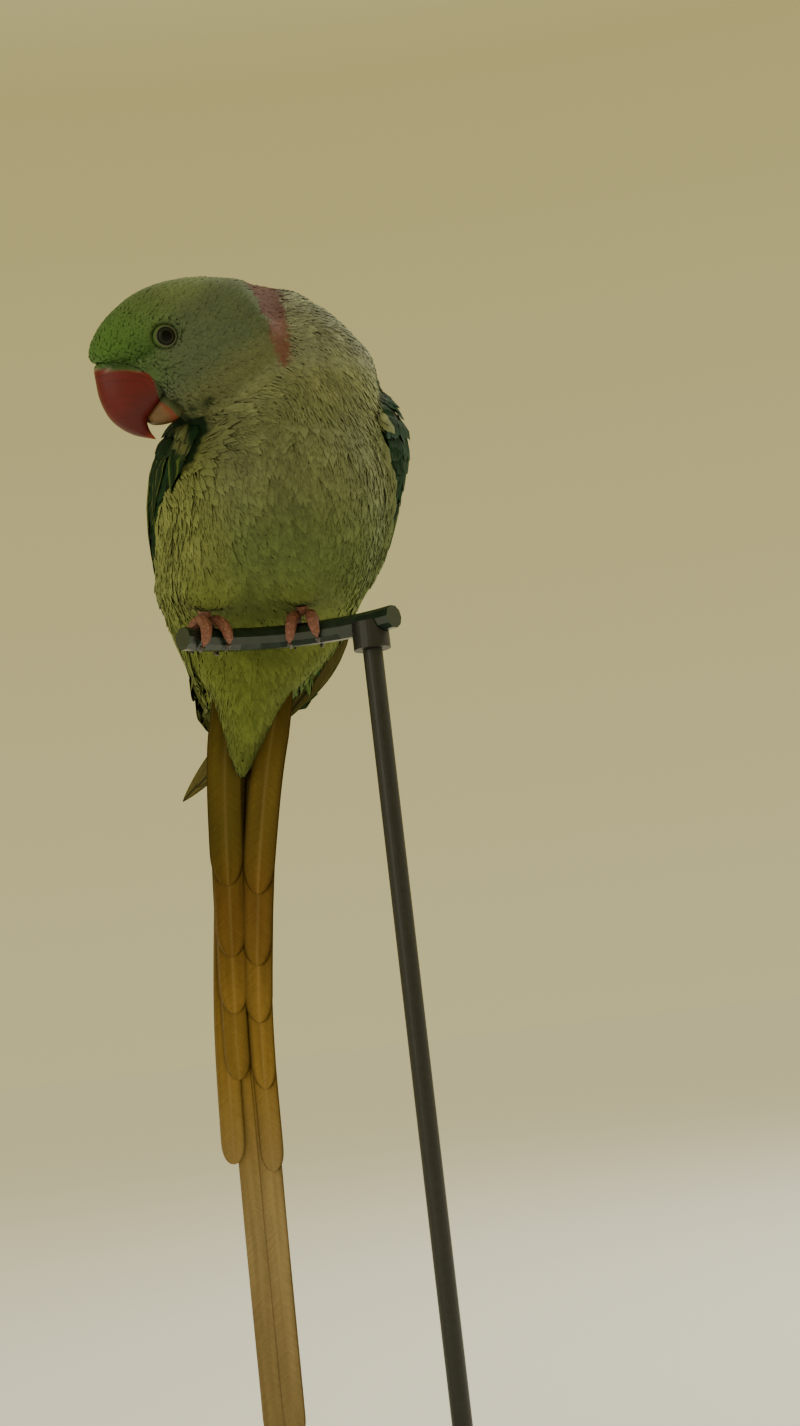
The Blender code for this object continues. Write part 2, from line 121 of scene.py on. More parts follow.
# Quill: the same keratin in a smoother, closer web, with a shaft that shows
quillLook = dict(featherLook, roughness=0.75, sheen=0.0, gloss=0.1, bump=0.45)


def featherMaterial(name, look):
    made, tree, shader = newMaterial(name, Roughness=look["roughness"], Sheen_Weight=look["sheen"],
                                     Sheen_Roughness=0.5, Specular_IOR_Level=look["gloss"])
    lane = addNode(tree, "ShaderNodeUVMap", {"uv_map": "Vane"})
    split = addNode(tree, "ShaderNodeSeparateXYZ", links={"Vector": (lane, "UV")})
    side = addNode(tree, "ShaderNodeMath", {"operation": "ABSOLUTE"}, links={0: (split, "X")})
    # barbs slant forward from the shaft
    slant = addNode(tree, "ShaderNodeMath", {"operation": "MULTIPLY_ADD"}, {1: -0.9},
                    {0: (side, 0), 2: (split, "Y")})
    place = addNode(tree, "ShaderNodeCombineXYZ", links={"X": (slant, 0), "Y": (split, "X")})
    stretch = addNode(tree, "ShaderNodeMapping", values={"Scale": (look["barbs"], look["barbs"] * 0.12, 1)},
                      links={"Vector": (place, 0)})
    barbs = addNode(tree, "ShaderNodeTexNoise", values={"Scale": 1.0, "Detail": 2.0, "Roughness": 0.6},
                    links={"Vector": (stretch, 0)})
    spot = addNode(tree, "ShaderNodeTexCoord")
    grain = addNode(tree, "ShaderNodeTexNoise", values={"Scale": look["grain"], "Detail": 3.0},
                    links={"Vector": (spot, "Object")})
    colour = mottled(tree, shader, barbs, grain, 0.35, 0.84, 1.14, look["bump"])
    if look["shaftShare"]:
        # the shaft down the middle of each quill, told by the distance from the middle line
        line = addNode(tree, "ShaderNodeMapRange", values={
            "From Min": 0.00025, "From Max": 0.0007, "To Min": look["shaftShare"], "To Max": 0.0},
            links={"Value": (side, 0)})
        colour = addNode(tree, "ShaderNodeMix", {"data_type": "RGBA"}, {7: tint(look["shaft"])},
                         {0: (line, 0), 6: (colour, 2)})
    tree.links.new(colour.outputs[2], shader.inputs["Base Color"])
    return made


featherCoat = featherMaterial("softFeather", featherLook)
featherQuill = featherMaterial("flightFeather", dict(quillLook, shaft="#1c1f16", shaftShare=0.7))
featherTail = featherMaterial("tailFeather", dict(quillLook, shaft="#a89060", shaftShare=0.1))
# the neck's small feathers lie matt, so the collar keeps its colour in a low light
featherNeck = featherMaterial("mattFeather", dict(featherLook, sheen=0.0, gloss=0.04))

# the head's own axes: its middle, and how far it turns nose down, over to its side and round
headPose = {"centre": (-20.5, -33.0, 487.7), "pitch": 33.0, "roll": 14.0, "yaw": 4.0}


def headAxes(pose):
    pitch, roll = math.radians(pose["pitch"]), math.radians(pose["roll"])
    turn = Matrix.Rotation(math.radians(pose["yaw"]), 3, "Z")
    forward = Vector((-math.cos(pitch), 0, -math.sin(pitch)))
    up = Vector((-math.sin(pitch), 0, math.cos(pitch)))
    side = Vector((0, -1, 0))
    tilted = up * math.cos(roll) + side * math.sin(roll)
    across = side * math.cos(roll) - up * math.sin(roll)
    return turn @ forward, turn @ tilted, turn @ across


headCentre = Vector(headPose["centre"])
headForward, headUp, headSide = headAxes(headPose)
headBasis = np.array([headForward, headUp, headSide])


def inHead(forward, up, side=0.0):
    return headCentre + headForward * forward + headUp * up + headSide * side


def headPlace(points):
    # forward, up and side of points in millimetres
    return (points - np.array(headCentre)) @ headBasis.T


def ease(x, start, end):
    t = np.clip((x - start) / (end - start), 0, 1)
    return t * t * (3 - 2 * t)


def readTable(rows, values, column=1):
    # a column of a table, where its first column has the given values
    rows = np.array(rows, float)
    return np.interp(values, rows[:, 0], rows[:, column])


def unit(v):
    return v / np.maximum(np.linalg.norm(v, axis=-1, keepdims=True), 1e-9)


def hermite(s, start, end, startSlope, endSlope):
    return ((2*s**3 - 3*s**2 + 1)*start + (s**3 - 2*s**2 + s)*startSlope
            + (3*s**2 - 2*s**3)*end + (s**3 - s**2)*endSlope)


def smoothLine(rows):
    # a smooth line through rows of numbers, read by its share from 0 to 1
    rows = np.array(rows, float)
    slopes = np.gradient(rows, axis=0)
    count = len(rows) - 1

    def read(share):
        x = np.clip(np.asarray(share, float), 0, 1) * count
        left = np.minimum(x.astype(int), count - 1)
        s = (x - left)[..., None]
        return hermite(s, rows[left], rows[left + 1], slopes[left], slopes[left + 1])

    return read


# the lie of the coat: a line from the bill to the tail, whose direction the feathers follow
spineRows = [
    inHead(36, 2), inHead(20, -4), inHead(2, -7), inHead(-16, -9), inHead(-30, -13),
    (17, -18, 486), (18, -8, 470), (15, -2, 450), (11, 2, 428), (6, 7, 405),
    (-2, 16, 384), (-9, 28, 362), (-16, 40, 338), (-23, 50, 308), (-28, 57, 270)]
spineLine = smoothLine([tuple(p) for p in spineRows])
spineSpots = spineLine(np.linspace(0, 1, 141))
spineRun = np.gradient(spineSpots, axis=0)
spineRun /= np.linalg.norm(spineRun, axis=1)[:, None]
batch = 4000  # points read against the line at a time, to save memory


def coatFlow(points, normals, spread=13.0):
    out = np.zeros_like(points)
    for i in range(0, len(points), batch):
        gap = np.linalg.norm(points[i:i + batch, None] - spineSpots[None], axis=2)
        near = gap.min(axis=1, keepdims=True)
        weight = np.exp(-((gap - near) / spread) ** 2 * 2.5)
        out[i:i + batch] = weight @ spineRun
    out = unit(out)
    # on the face they fan out from the bill
    away = unit(points - np.array(inHead(33, -2, 0)))
    share = (0.65 * ease(headPlace(points)[:, 0], -10, 24))[:, None]
    out = out * (1 - share) + away * share
    return unit(out - normals * np.sum(out * normals, axis=1, keepdims=True))


def onUnwrap(points):
    # place along the line and round it, as an unwrap of the body's own shape
    out = np.zeros((len(points), 2))
    for i in range(0, len(points), batch):
        part = points[i:i + batch]
        gap = np.linalg.norm(part[:, None] - spineSpots[None], axis=2)
        k = gap.argmin(axis=1)
        run = spineRun[k]
        away = part - spineSpots[k]
        across = unit(np.cross(run, np.array([0.0, 0.35, 0.94])))
        over = np.cross(across, run)
        angle = np.arctan2(np.sum(away * across, axis=1), np.sum(away * over, axis=1))
        out[i:i + batch, 0] = 0.03 + 0.94 * (angle / (2 * math.pi) + 0.5)
        out[i:i + batch, 1] = 0.03 + 0.94 * (k + 0.5) / len(spineSpots)
    return out


# the colours of the plumage, in a warm low light
palette = tintsOf({
    "forehead": "#4d7033", "crown": "#5d6b44", "cheek": "#535f46", "jaw": "#636847", "loreLine": "#22400f",
    "blotch": "#2a361c", "nape": "#7d826d", "collar": "#4c2816", "collarLow": "#6e4c40", "throat": "#7d805c",
    "breast": "#6b724f", "belly": "#596638", "vent": "#667130", "flank": "#7b8148", "mantle": "#4d6c3b",
    "rump": "#44704b", "covert": "#18331d", "covertDark": "#0f2517", "covertEdge": "#2c4c2c",
    # edge is a pale olive painted as rim light on the right wing's inner coverts by the breast
    "patch": "#531f24", "edge": "#676b47", "rim": "#59662f"})


def mixed(base, other, share):
    share = np.clip(share, 0, 1)[:, None]
    return base * (1 - share) + other * share


def plain(colour, points):
    return np.tile(colour, (len(points), 1))


def wingFoot(points):
    # where the right wing's lowest front edge is tinged like the flank beside it
    return ease(points[:, 2], 392, 380) * ease(points[:, 0], -26, -30)


def footTinged(colour, points):
    return mixed(colour, palette["flank"] * 0.6, wingFoot(points))


markLook = {
    # height, then how far back the green of the back begins
    "back": ((300, 50), (340, 46), (380, 38), (400, 26), (430, 12), (460, 2), (480, 0), (510, -4)),
    # height, then the middle of the rump
    "rump": ((330, -19.8), (372, -5.8), (404, 4.0)),
    # height, then how far out the body shows dark beside the left wing's shoulder
    "shoulder": ((430, 64), (443, 57.5), (454, 53.4), (472, 51.5), (482, 50)),
    # forward, then up of the dark line from the bill to the eye
    "lore": ((12, 0.5), (14.2, 1.8), (18.5, 3.0), (23.8, 4.0), (31.3, 7.4)),
    # forward, up and size of the dark blotches on the jaw
    "blotches": ((19.6, -18.5, 1.8), (15.8, -25.0, 2.5), (9.8, -26.4, 2.2)),
    # the collar's front and rear lines: forward and up of a point on each, and its slope
    "collar": ((-31, 3.5, 0.272), (-42.1, -9.2, 0.682)),
}


def headMarkings(f, u):
    # by forward and up on the head
    head = plain(palette["cheek"], f)
    head = mixed(head, palette["crown"], ease(u, 2, 16))
    head = head * (1 + 0.2 * ease(f, 4, -12) * ease(u, 4, 12))[:, None]
    head = mixed(head, palette["jaw"], ease(u, -12, -24))
    vivid = ease(f, -6, 26) * ease(u, -3.0, 5.0)
    vivid = np.maximum(vivid, 0.55 * ease(f, 8, 24) * ease(u, -16, -4))
    head = mixed(head, palette["forehead"], vivid)
    head = head * (1 - 0.3 * vivid * ease(u, 13, 6) * ease(u, 0, 3) * ease(f, 12, 20))[:, None]
    line = np.exp(-((u - readTable(markLook["lore"], f)) / 1.5) ** 2) * ease(f, 11, 14.5) * ease(f, 35, 30)
    head = mixed(head, palette["loreLine"], 0.62 * line)
    for forward, up, size in markLook["blotches"]:
        head = mixed(head, palette["blotch"], np.exp(-((f - forward) ** 2 + (u - up) ** 2) / size ** 2))
    return head


def bodyMarkings(points):
    f, u, _ = headPlace(points).T
    x, y, z = points.T
    colour = plain(palette["breast"], points)
    back = ease(y - readTable(markLook["back"], z), 2, 22)
    colour = mixed(colour, palette["belly"], ease(z, 428, 392))
    colour = mixed(colour, palette["flank"], ease(x, -4, -24) * ease(z, 466, 440) * 0.75)
    colour = mixed(colour, palette["vent"], ease(z, 398, 376))
    colour = mixed(colour, palette["throat"], ease(z, 440, 462) * 0.7)
    colour = mixed(colour, palette["mantle"], back * ease(z, 486, 452))
    lateral = np.abs(x - readTable(markLook["rump"], z))
    colour = mixed(colour, palette["rump"], back * ease(z, 400, 370) * ease(lateral, 24, 14))
    colour = colour * (1 - 0.25 * ease(z, 334, 322))[:, None]
    colour = colour * (1 + 0.08 * ease(x, 6, 30) * (1 - back) * ease(z, 476, 450))[:, None]
    # neck and nape
    onNeck = ease(z, 462, 480) * (1 - 0.5 * back * ease(z, 494, 472))
    colour = mixed(colour, palette["nape"], onNeck * 0.9)
    # the neck a little darker overall, with patches lighter and darker by a noise, strongest on the neck:
    # painted shade of its folds
    mottle = np.array([noise.noise(Vector(p) / 9) for p in points])
    colour = colour * (1 - 0.06 * onNeck + 0.45 * mottle * (0.35 + 0.65 * onNeck))[:, None]
    shoulder = ease(x - readTable(markLook["shoulder"], z), -0.5, 1.0) * ease(z, 482, 476) * ease(z, 430, 438)
    colour = mixed(colour, palette["covert"], shoulder)
    # head, back to a slanting line
    front, rear = [forward + (up - u) * slope for forward, up, slope in markLook["collar"]]
    onHead = ease(f, rear - 1.5, rear + 1.5) * ease(u, -33, -27)
    colour = mixed(colour, headMarkings(f, u), onHead)
    # the collar lies between that line and the one ahead of it
    band = ease(f, front + 0.8, front - 0.8) * ease(f, rear - 0.8, rear + 0.8)
    band = band * ease(u, -35, -32) * (z > 455)
    ring = mixed(plain(palette["collar"], points), palette["collarLow"], ease(u, -14, -22))
    return mixed(colour, ring, band)


# the skin: the flesh solids swollen, joined by remeshing, and sunk to make room for the feathers
fleshNodes = ["head", "neck", "trunk", "leg_left", "leg_right", "wing_left", "wing_right"]
wingCut = ((0, 0, 0.345), (0, 0, -1))
skinLook = {
    "voxel": 1.7, "swell": 0.35, "nape": 3.0,
    # how deep it lies in each region
    "depth": {"head": 1.0, "neck": 3.0, "trunk": 3.6, "leg_left": 2.5, "leg_right": 2.5,
              "wing_left": 1.2, "wing_right": 1.2},
    # planes, in metres, beyond which a wing is left to its quills
    "cuts": {"wing_left": (wingCut, ((-0.004, 0, 0), (-1, 0, 0))), "wing_right": (wingCut,)},
    # height, then the middle of the vent, which narrows to the tail
    "vent": ((330, -19.8), (341, -16.4), (351, -14.0), (362, -11.0), (372, -8)),
    # forward, up and rise of the nape's collar and of the chin
    "collar": (-37, 6, 2.9), "chin": (14, -27, 2.6),
    # how far from a seam it starts to relax, where it does so fully, for how many rounds, and sink
    "seams": {"head": (21, 10, 420, 0.12), "face": (9, 3, 24, 1.0), "neck": (16, 5, 70, 0.7),
              "leg": (10, 3, 30, 0.7)},
}


def gathered(name, names):
    shape = bmesh.new()
    for node in names:
        part = bmesh.new()
        part.from_mesh(nodes[node].data)
        bmesh.ops.remove_doubles(part, verts=part.verts, dist=0.00002)
        part.normal_update()
        for spot, way in skinLook["cuts"].get(node, ()):
            bmesh.ops.bisect_plane(part, geom=part.verts[:] + part.edges[:] + part.faces[:],
                                   plane_co=spot, plane_no=way, clear_outer=True)
            bmesh.ops.holes_fill(part, edges=[e for e in part.edges if e.is_boundary])
        for v in part.verts:
            v.co += v.normal * skinLook["swell"] * mm
        made = bpy.data.meshes.new("part")
        part.to_mesh(made)
        part.free()
        shape.from_mesh(made)
        bpy.data.meshes.remove(made)
    return newPiece(name, shape, smooth=False)


def treeOf(mesh):
    shape = bmesh.new()
    shape.from_mesh(mesh)
    made = BVHTree.FromBMesh(shape)
    shape.free()
    return made


def readVerts(mesh, key):
    out = np.zeros(len(mesh.vertices) * 3, np.float32)
    mesh.vertices.foreach_get(key, out)
    return out.reshape(-1, 3).astype(float)


def spotsOf(mesh):
    # a mesh's vertices in millimetres
    return readVerts(mesh, "co") / mm


def bake(obj):
    # modifiers into the mesh
    graph = bpy.context.evaluated_depsgraph_get()
    mesh = bpy.data.meshes.new_from_object(obj.evaluated_get(graph))
    obj.modifiers.clear()
    old = obj.data
    obj.data = mesh
    bpy.data.meshes.remove(old)
    mesh.name = obj.name


billLook = {
    # forward and up of the ridge, then of the cutting edge, the half width, and how far the sides lag
    "upper": ((29.0, 5.0, 20.0, -5.0, 0.0, 0.0), (33.0, 10.5, 18.5, -9.0, 8.6, 6.0),
              (36.3, 11.5, 24.4, -13.0, 9.6, 9.0), (39.9, 5.6, 26.6, -14.3, 9.6, 6.6),
              (42.3, 0.6, 28.5, -15.2, 9.2, 4.6), (43.6, -4.6, 30.3, -16.0, 8.4, 2.9),
              (43.8, -9.4, 31.9, -16.5, 7.3, 1.7), (42.5, -14.5, 33.2, -17.7, 5.8, 0.8),
              (40.4, -18.7, 34.1, -19.8, 4.2, 0.3), (38.0, -21.7, 34.4, -22.2, 2.6, 0.0),
              (35.8, -24.0, 34.3, -24.2, 1.2, 0.0), (34.4, -25.4, 34.2, -25.4, 0.0, 0.0)),
    "lower": ((13.0, -17.0, 13.0, -17.0, 0.0, 0.0), (17.0, -13.0, 16.8, -21.5, 4.5, 0.0),
              (22.0, -12.5, 21.4, -24.6, 7.6, 0.0), (25.6, -13.4, 25.0, -23.8, 7.7, 0.0),
              (29.0, -14.6, 28.6, -22.2, 6.4, 0.0), (31.6, -15.8, 31.4, -20.2, 4.4, 0.0),
              (32.9, -17.4, 32.9, -18.2, 0.0, 0.0)),
    # where the feathers stop round the bill: up, then forward
    "edge": ((-60.0, 40.0), (-29.0, 34.0), (-26.0, 22.0), (-24.8, 22.6), (-19.4, 23.6), (-15.1, 24.6),
             (-11.9, 24.0), (-9.8, 23.0), (-7.4, 22.2), (-4.9, 21.6), (-2.8, 21.8), (1.7, 27.4),
             (6.5, 32.6), (10.3, 36.4), (11.4, 38.0), (12.3, 60.0)),
    # the cutting edges stand below the hollow between them, from this share of the depth
    "rim": 0.8,
}


def beyondEdge(place):
    # how far ahead of the feathers' edge each place lies
    return place[:, 0] - readTable(billLook["edge"], place[:, 1])


def billForm(name, rows, around, levels):
    ring = smoothLine(rows)
    rim = billLook["rim"]
    shape = bmesh.new()
    bmesh.ops.create_uvsphere(shape, u_segments=around, v_segments=levels, radius=1.0)
    layer = shape.verts.layers.float.new("along")
    for v in shape.verts:
        share = math.acos(max(-1.0, min(1.0, v.co.z))) / math.pi
        turn = math.atan2(v.co.y, v.co.x)
        tf, tu, lf, lu, half, lag = ring([share])[0]
        s, c = math.sin(turn), math.cos(turn)
        s = s if s > -rim else -rim + (-rim - s) * 0.8
        s = s if s > 0 else s / rim
        v[layer] = share
        v.co = inHead((tf + lf) / 2 + (tf - lf) / 2 * s - lag * c * c, (tu + lu) / 2 + (tu - lu) / 2 * s,
                      max(half, 0) * math.copysign(abs(c) ** 0.85, c)) * mm
    bmesh.ops.recalc_face_normals(shape, faces=shape.faces)
    return newPiece(name, shape)


def hornMaterial(name):
    # horn: layered keratin, waxy where it is rubbed, with fine ridges across its growth
    made, tree, shader = newMaterial(
        name, Roughness=0.45, Coat_Weight=0.08, Coat_Roughness=0.25, Specular_IOR_Level=0.3, IOR=1.5,
        Subsurface_Weight=0.1, Subsurface_Radius=(0.003, 0.001, 0.0006), Subsurface_Scale=0.5)
    lane = addNode(tree, "ShaderNodeAttribute", {"attribute_name": "along"})
    spot = addNode(tree, "ShaderNodeTexCoord")
    growth = addNode(tree, "ShaderNodeTexNoise", values={"Scale": 230.0, "Detail": 5.0, "Roughness": 0.6},
                     links={"Vector": (spot, "Object")})
    ridge = addNode(tree, "ShaderNodeTexNoise", {"noise_dimensions": "1D"}, {"Scale": 60.0, "Detail": 3.0},
                    {"W": (lane, "Fac")})
    colour = mottled(tree, shader, growth, ridge, 0.5, 0.78, 1.2, 0.35)
    tree.links.new(colour.outputs[2], shader.inputs["Base Color"])
    return made


billHorn = hornMaterial("billHorn")
upperBill = billForm("upper_bill", billLook["upper"], 48, 64)
lowerBill = billForm("lower_bill", billLook["lower"], 36, 32)
upperTree, lowerTree = treeOf(upperBill.data), treeOf(lowerBill.data)
print("bill shaped")

skin = gathered("skin", fleshNodes)
remesh = skin.modifiers.new("remesh", "REMESH")
remesh.mode = "VOXEL"
remesh.voxel_size = skinLook["voxel"] * mm * 1
remesh.adaptivity = 0.0
bake(skin)


def smoothed(shape, rounds):
    for _ in range(rounds):
        bmesh.ops.smooth_vert(shape, verts=shape.verts, factor=0.5,
                              use_axis_x=True, use_axis_y=True, use_axis_z=True)
    shape.verts.ensure_lookup_table()
    shape.normal_update()


regionTrees = {name: treeOf(nodes[name].data) for name in fleshNodes}


def nearestRegion(point):
    best, found = 1e9, None
    for name, tree in regionTrees.items():
        gap = tree.find_nearest(point)[3]
        if gap < best - 1e-6:
            best, found = gap, name
    return found


shape = bmesh.new()
shape.from_mesh(skin.data)
smoothed(shape, 4)
outer = [v.co.copy() for v in shape.verts]
regions = np.array([nearestRegion(p) for p in outer])
isWing = np.array([r.startswith("wing") for r in regions])
depth = np.array([skinLook["depth"][r] for r in regions])
face = skinLook["depth"]["head"]
backward = ease(headPlace(np.array(outer) / mm)[:, 0], 5, -32)
depth = np.where(regions == "head", face + (skinLook["nape"] - face) * backward, depth)
for _ in range(6):
    # even out the depth across the seams
    spread = depth.copy()
    for v in shape.verts:
        near = [e.other_vert(v).index for e in v.link_edges]
        spread[v.index] = 0.4 * depth[v.index] + 0.6 * sum(depth[i] for i in near) / len(near)
    depth = spread
for v in shape.verts:
    v.co -= v.normal * (depth[v.index] + skinLook["swell"]) * mm
smoothed(shape, 3)
ways = np.array([v.normal for v in shape.verts])
skinSpots = np.array([v.co for v in shape.verts]) / mm
joints = np.array([[e.verts[0].index, e.verts[1].index] for e in shape.edges])
valence = np.bincount(joints.ravel(), minlength=len(skinSpots))[:, None]


def settle(spots, weight, rounds, sink):
    # relax the skin; hollows fill at once, swellings go down only by the share in sink
    for _ in range(rounds):
        total = np.zeros_like(spots)
        for axis in range(3):
            total[:, axis] = (np.bincount(joints[:, 0], spots[joints[:, 1], axis], len(spots))
                              + np.bincount(joints[:, 1], spots[joints[:, 0], axis], len(spots)))
        step = total / valence - spots
        out = np.sum(step * ways, axis=1, keepdims=True)
        step = step - ways * out * (out < 0) * (1 - sink)
        spots = spots + 0.5 * weight[:, None] * step
    return spots


def seamGap(first, second):
    # distance of every skin vertex from the line where two nodes meet
    kinds = np.array([1 if r.startswith(first) else 2 if r.startswith(second) else 0 for r in regions])
    pair = kinds[joints]
    on = joints[(pair.min(axis=1) == 1) & (pair.max(axis=1) == 2)].ravel()
    seam = KDTree(len(on))
    for i in on:
        seam.insert(skinSpots[i], int(i))
    seam.balance()
    return np.array([seam.find(p)[2] for p in skinSpots])


def relaxed(name, gap, share=1.0):
    far, near, rounds, sink = skinLook["seams"][name]
    return settle(skinSpots, loose * ease(gap, far, near) * share, rounds, sink)


# everything but the wings is free to move, and the throat stays
loose = np.where(isWing, 0.0, 1.0)
gap = seamGap("head", "neck")
skinSpots = relaxed("head", gap, ease(headPlace(skinSpots)[:, 1], -20, -4))
skinSpots = relaxed("face", gap)
skinSpots = relaxed("neck", seamGap("neck", "trunk"))
skinSpots = relaxed("leg", seamGap("trunk", "leg"))
# the nape rises to the collar, the chin is full, and the vent narrows to the tail
f, u, _ = headPlace(skinSpots).T
forward, up, rise = skinLook["collar"]
swell = np.exp(-((f - forward) / 6.5) ** 2 - (np.maximum(0, up - u) / 16) ** 2) * (u > -30)
skinSpots = skinSpots + ways * (rise * swell * loose)[:, None]
forward, up, rise = skinLook["chin"]
swell = np.exp(-((f - forward) / 6.5) ** 2 - ((u - up) / 6) ** 2) * loose
skinSpots = skinSpots + ways * (rise * swell)[:, None]
middle = readTable(skinLook["vent"], skinSpots[:, 2])
slim = 1 - 0.3 * ease(skinSpots[:, 2], 372, 344) * loose
skinSpots[:, 0] = middle + (skinSpots[:, 0] - middle) * slim
# close the face in round the bill, and tuck it under the horn ahead of the feathers' edge
place = headPlace(skinSpots)
ahead = beyondEdge(place)
for i in np.nonzero((ahead > -9) & (place[:, 0] > 13) & (place[:, 1] < -8))[0]:
    spot, way, _, far = lowerTree.find_nearest(inHead(*place[i]) * mm)
    if far > 4 * mm:
        continue
    over = (inHead(*place[i]) * mm - spot).dot(way) / mm
    feathered = ahead[i] < 0.3
    wanted = 0.6 if feathered else -1.0
    if (over < wanted) if feathered else (wanted < over < 4):
        place[i] = headPlace(np.array([(spot + way * wanted * mm) / mm]))[0]
for i in np.nonzero((ahead > -9) & (place[:, 0] > 12) & (np.abs(place[:, 2]) > 1.0))[0]:
    f, u, s = place[i]
    sign = math.copysign(1, s)
    hit = upperTree.ray_cast(inHead(f, u, sign * 30) * mm, -headSide * sign, 0.03)[0]
    if hit is None:
        continue
    reach = abs(headPlace(np.array([hit]) / mm)[0, 2])
    limit = reach + 0.5 + max(0.0, -ahead[i]) * 0.8 if ahead[i] < 0.3 else reach - 1.2
    if abs(s) > limit:
        place[i, 2] = sign * limit
skinSpots = np.array(headCentre) + place @ headBasis
for v, spot in zip(shape.verts, skinSpots):
    v.co = Vector(spot) * mm
shape.to_mesh(skin.data)
shape.free()
skin.data.shade_smooth()
skin.data.materials.append(featherCoat)
skinTree = treeOf(skin.data)
print("skin:", len(skin.data.polygons), "faces")


def paint(mesh, colours):
    layer = mesh.attributes.get("plumage") or mesh.attributes.new("plumage", "FLOAT_COLOR", "POINT")
    data = np.ones((len(mesh.vertices), 4), np.float32)
    data[:, :3] = colours
    layer.data.foreach_set("color", data.ravel())


skinSpots, skinWays = spotsOf(skin.data), readVerts(skin.data, "normal")
skinColours = bodyMarkings(skinSpots) * np.where(regions == "head", 0.93, 0.8)[:, None]
skinColours[isWing] = footTinged(plain(palette["covert"] * 0.8, skinSpots), skinSpots)[isWing]


def vanePattern(across, along, fringe, tipCurve):
    # one feather as a thin closed vane: x from -1 to 1 across, y from 0 to 1 along, z its dome
    shape = bmesh.new()
    bmesh.ops.create_grid(shape, x_segments=across, y_segments=along, size=1)
    for v in shape.verts:
        x, y = v.co.x, (v.co.y + 1) / 2
        column = round((x + 1) / 2 * across)
        if y > 0.999:
            y = 1 - tipCurve * x * x - (fringe if column % 2 == 0 else 0)
        elif y > 0.6:
            y = y - 0.10 * x * x
        v.co = (x, y, 1 - x * x)
    if sum(f.normal.z for f in shape.faces) < 0:
        bmesh.ops.reverse_faces(shape, faces=shape.faces)
    rim = [e for e in shape.edges if e.is_boundary]
    # the underside has its own copy of the rim, so that it can face the skin
    below = bmesh.ops.duplicate(shape, geom=rim + list({v for e in rim for v in e.verts}))
    twin = {a: b for a, b in below["vert_map"].items() if isinstance(a, bmesh.types.BMVert)}
    copies = [g for g in below["geom"] if isinstance(g, bmesh.types.BMEdge)]
    made = bmesh.ops.edgenet_fill(shape, edges=copies)["faces"]
    shape.normal_update()
    if made[0].normal.z > 0:
        bmesh.ops.reverse_faces(shape, faces=made)
    bmesh.ops.triangulate(shape, faces=shape.faces)
    shape.verts.index_update()
    spots = np.array([v.co for v in shape.verts])
    faces = np.array([[v.index for v in f.verts] for f in shape.faces])
    source = np.arange(len(spots))
    for one, other in twin.items():
        first, second = sorted((one.index, other.index))
        source[second] = first
    shape.free()
    return spots, faces, source


def meshFrom(name, spots, faces, lane, unwrap, colours, normals):
    mesh = bpy.data.meshes.new(name)
    count = len(faces)
    mesh.vertices.add(len(spots))
    mesh.vertices.foreach_set("co", spots.astype(np.float32).ravel())
    mesh.loops.add(count * 3)
    mesh.loops.foreach_set("vertex_index", faces.astype(np.int32).ravel())
    mesh.polygons.add(count)
    mesh.polygons.foreach_set("loop_start", np.arange(0, count * 3, 3, dtype=np.int32))
    mesh.polygons.foreach_set("loop_total", np.full(count, 3, np.int32))
    mesh.update(calc_edges=True)
    for label, values in (("OFBake", unwrap), ("Vane", lane)):
        layer = mesh.uv_layers.new(name=label)
        layer.data.foreach_set("uv", values[faces.ravel()].astype(np.float32).ravel())
    paint(mesh, colours)
    mesh.shade_smooth()
    mesh.normals_split_custom_set_from_vertices(normals.astype(np.float32))
    made = bpy.data.objects.new(name, mesh)
    world.objects.link(made)
    return made


density = 1.0
aroundCell = list(product((-1, 0, 1), repeat=3))


def scatter(mesh, spacing, wanted, seed):
    # roots spread over a mesh, none nearer to another than the spacing
    chance = np.random.default_rng(seed)
    mesh.calc_loop_triangles()
    spots = spotsOf(mesh)
    tris = np.zeros(len(mesh.loop_triangles) * 3, np.int32)
    mesh.loop_triangles.foreach_get("vertices", tris)
    tris = tris.reshape(-1, 3)
    tris = tris[wanted[tris].all(axis=1)]
    a, b, c = spots[tris[:, 0]], spots[tris[:, 1]], spots[tris[:, 2]]
    area = np.linalg.norm(np.cross(b - a, c - a), axis=1) / 2
    gap = np.full(tris.shape, spacing * density).mean(axis=1)
    share = area / gap ** 2
    total = int(share.sum() * 7)
    pick = chance.choice(len(tris), total, p=share / share.sum())
    p, q = chance.random(total), chance.random(total)
    flip = p + q > 1
    p[flip], q[flip] = 1 - p[flip], 1 - q[flip]
    places = a[pick] + (b[pick] - a[pick]) * p[:, None] + (c[pick] - a[pick]) * q[:, None]
    cell = float(gap.max())
    least = cell ** 2
    kept, grid = [], {}
    for i, (x, y, z) in enumerate(places):
        key = (int(x // cell), int(y // cell), int(z // cell))
        near = (places[j] for dx, dy, dz in aroundCell
                for j in grid.get((key[0] + dx, key[1] + dy, key[2] + dz), ()))
        if not any((x - o[0])**2 + (y - o[1])**2 + (z - o[2])**2 < least for o in near):
            kept.append(i)
            grid.setdefault(key, []).append(i)
    return places[kept]


def ground(tree, points):
    # nearest places on a surface and the way out there, in millimetres
    spots, ways = np.zeros_like(points), np.zeros_like(points)
    for i, p in enumerate(points):
        hit = tree.find_nearest(Vector(p) * mm)
        spots[i], ways[i] = hit[0], hit[1]
    return spots / mm, ways


patterns = {"soft": vanePattern(6, 5, 0.035, 0.42), "short": vanePattern(4, 3, 0.03, 0.4),
            "scale": vanePattern(6, 5, 0.0, 0.3), "long": vanePattern(10, 12, 0.0, 0.5),
            "wisp": vanePattern(2, 3, 0.0, 0.6)}

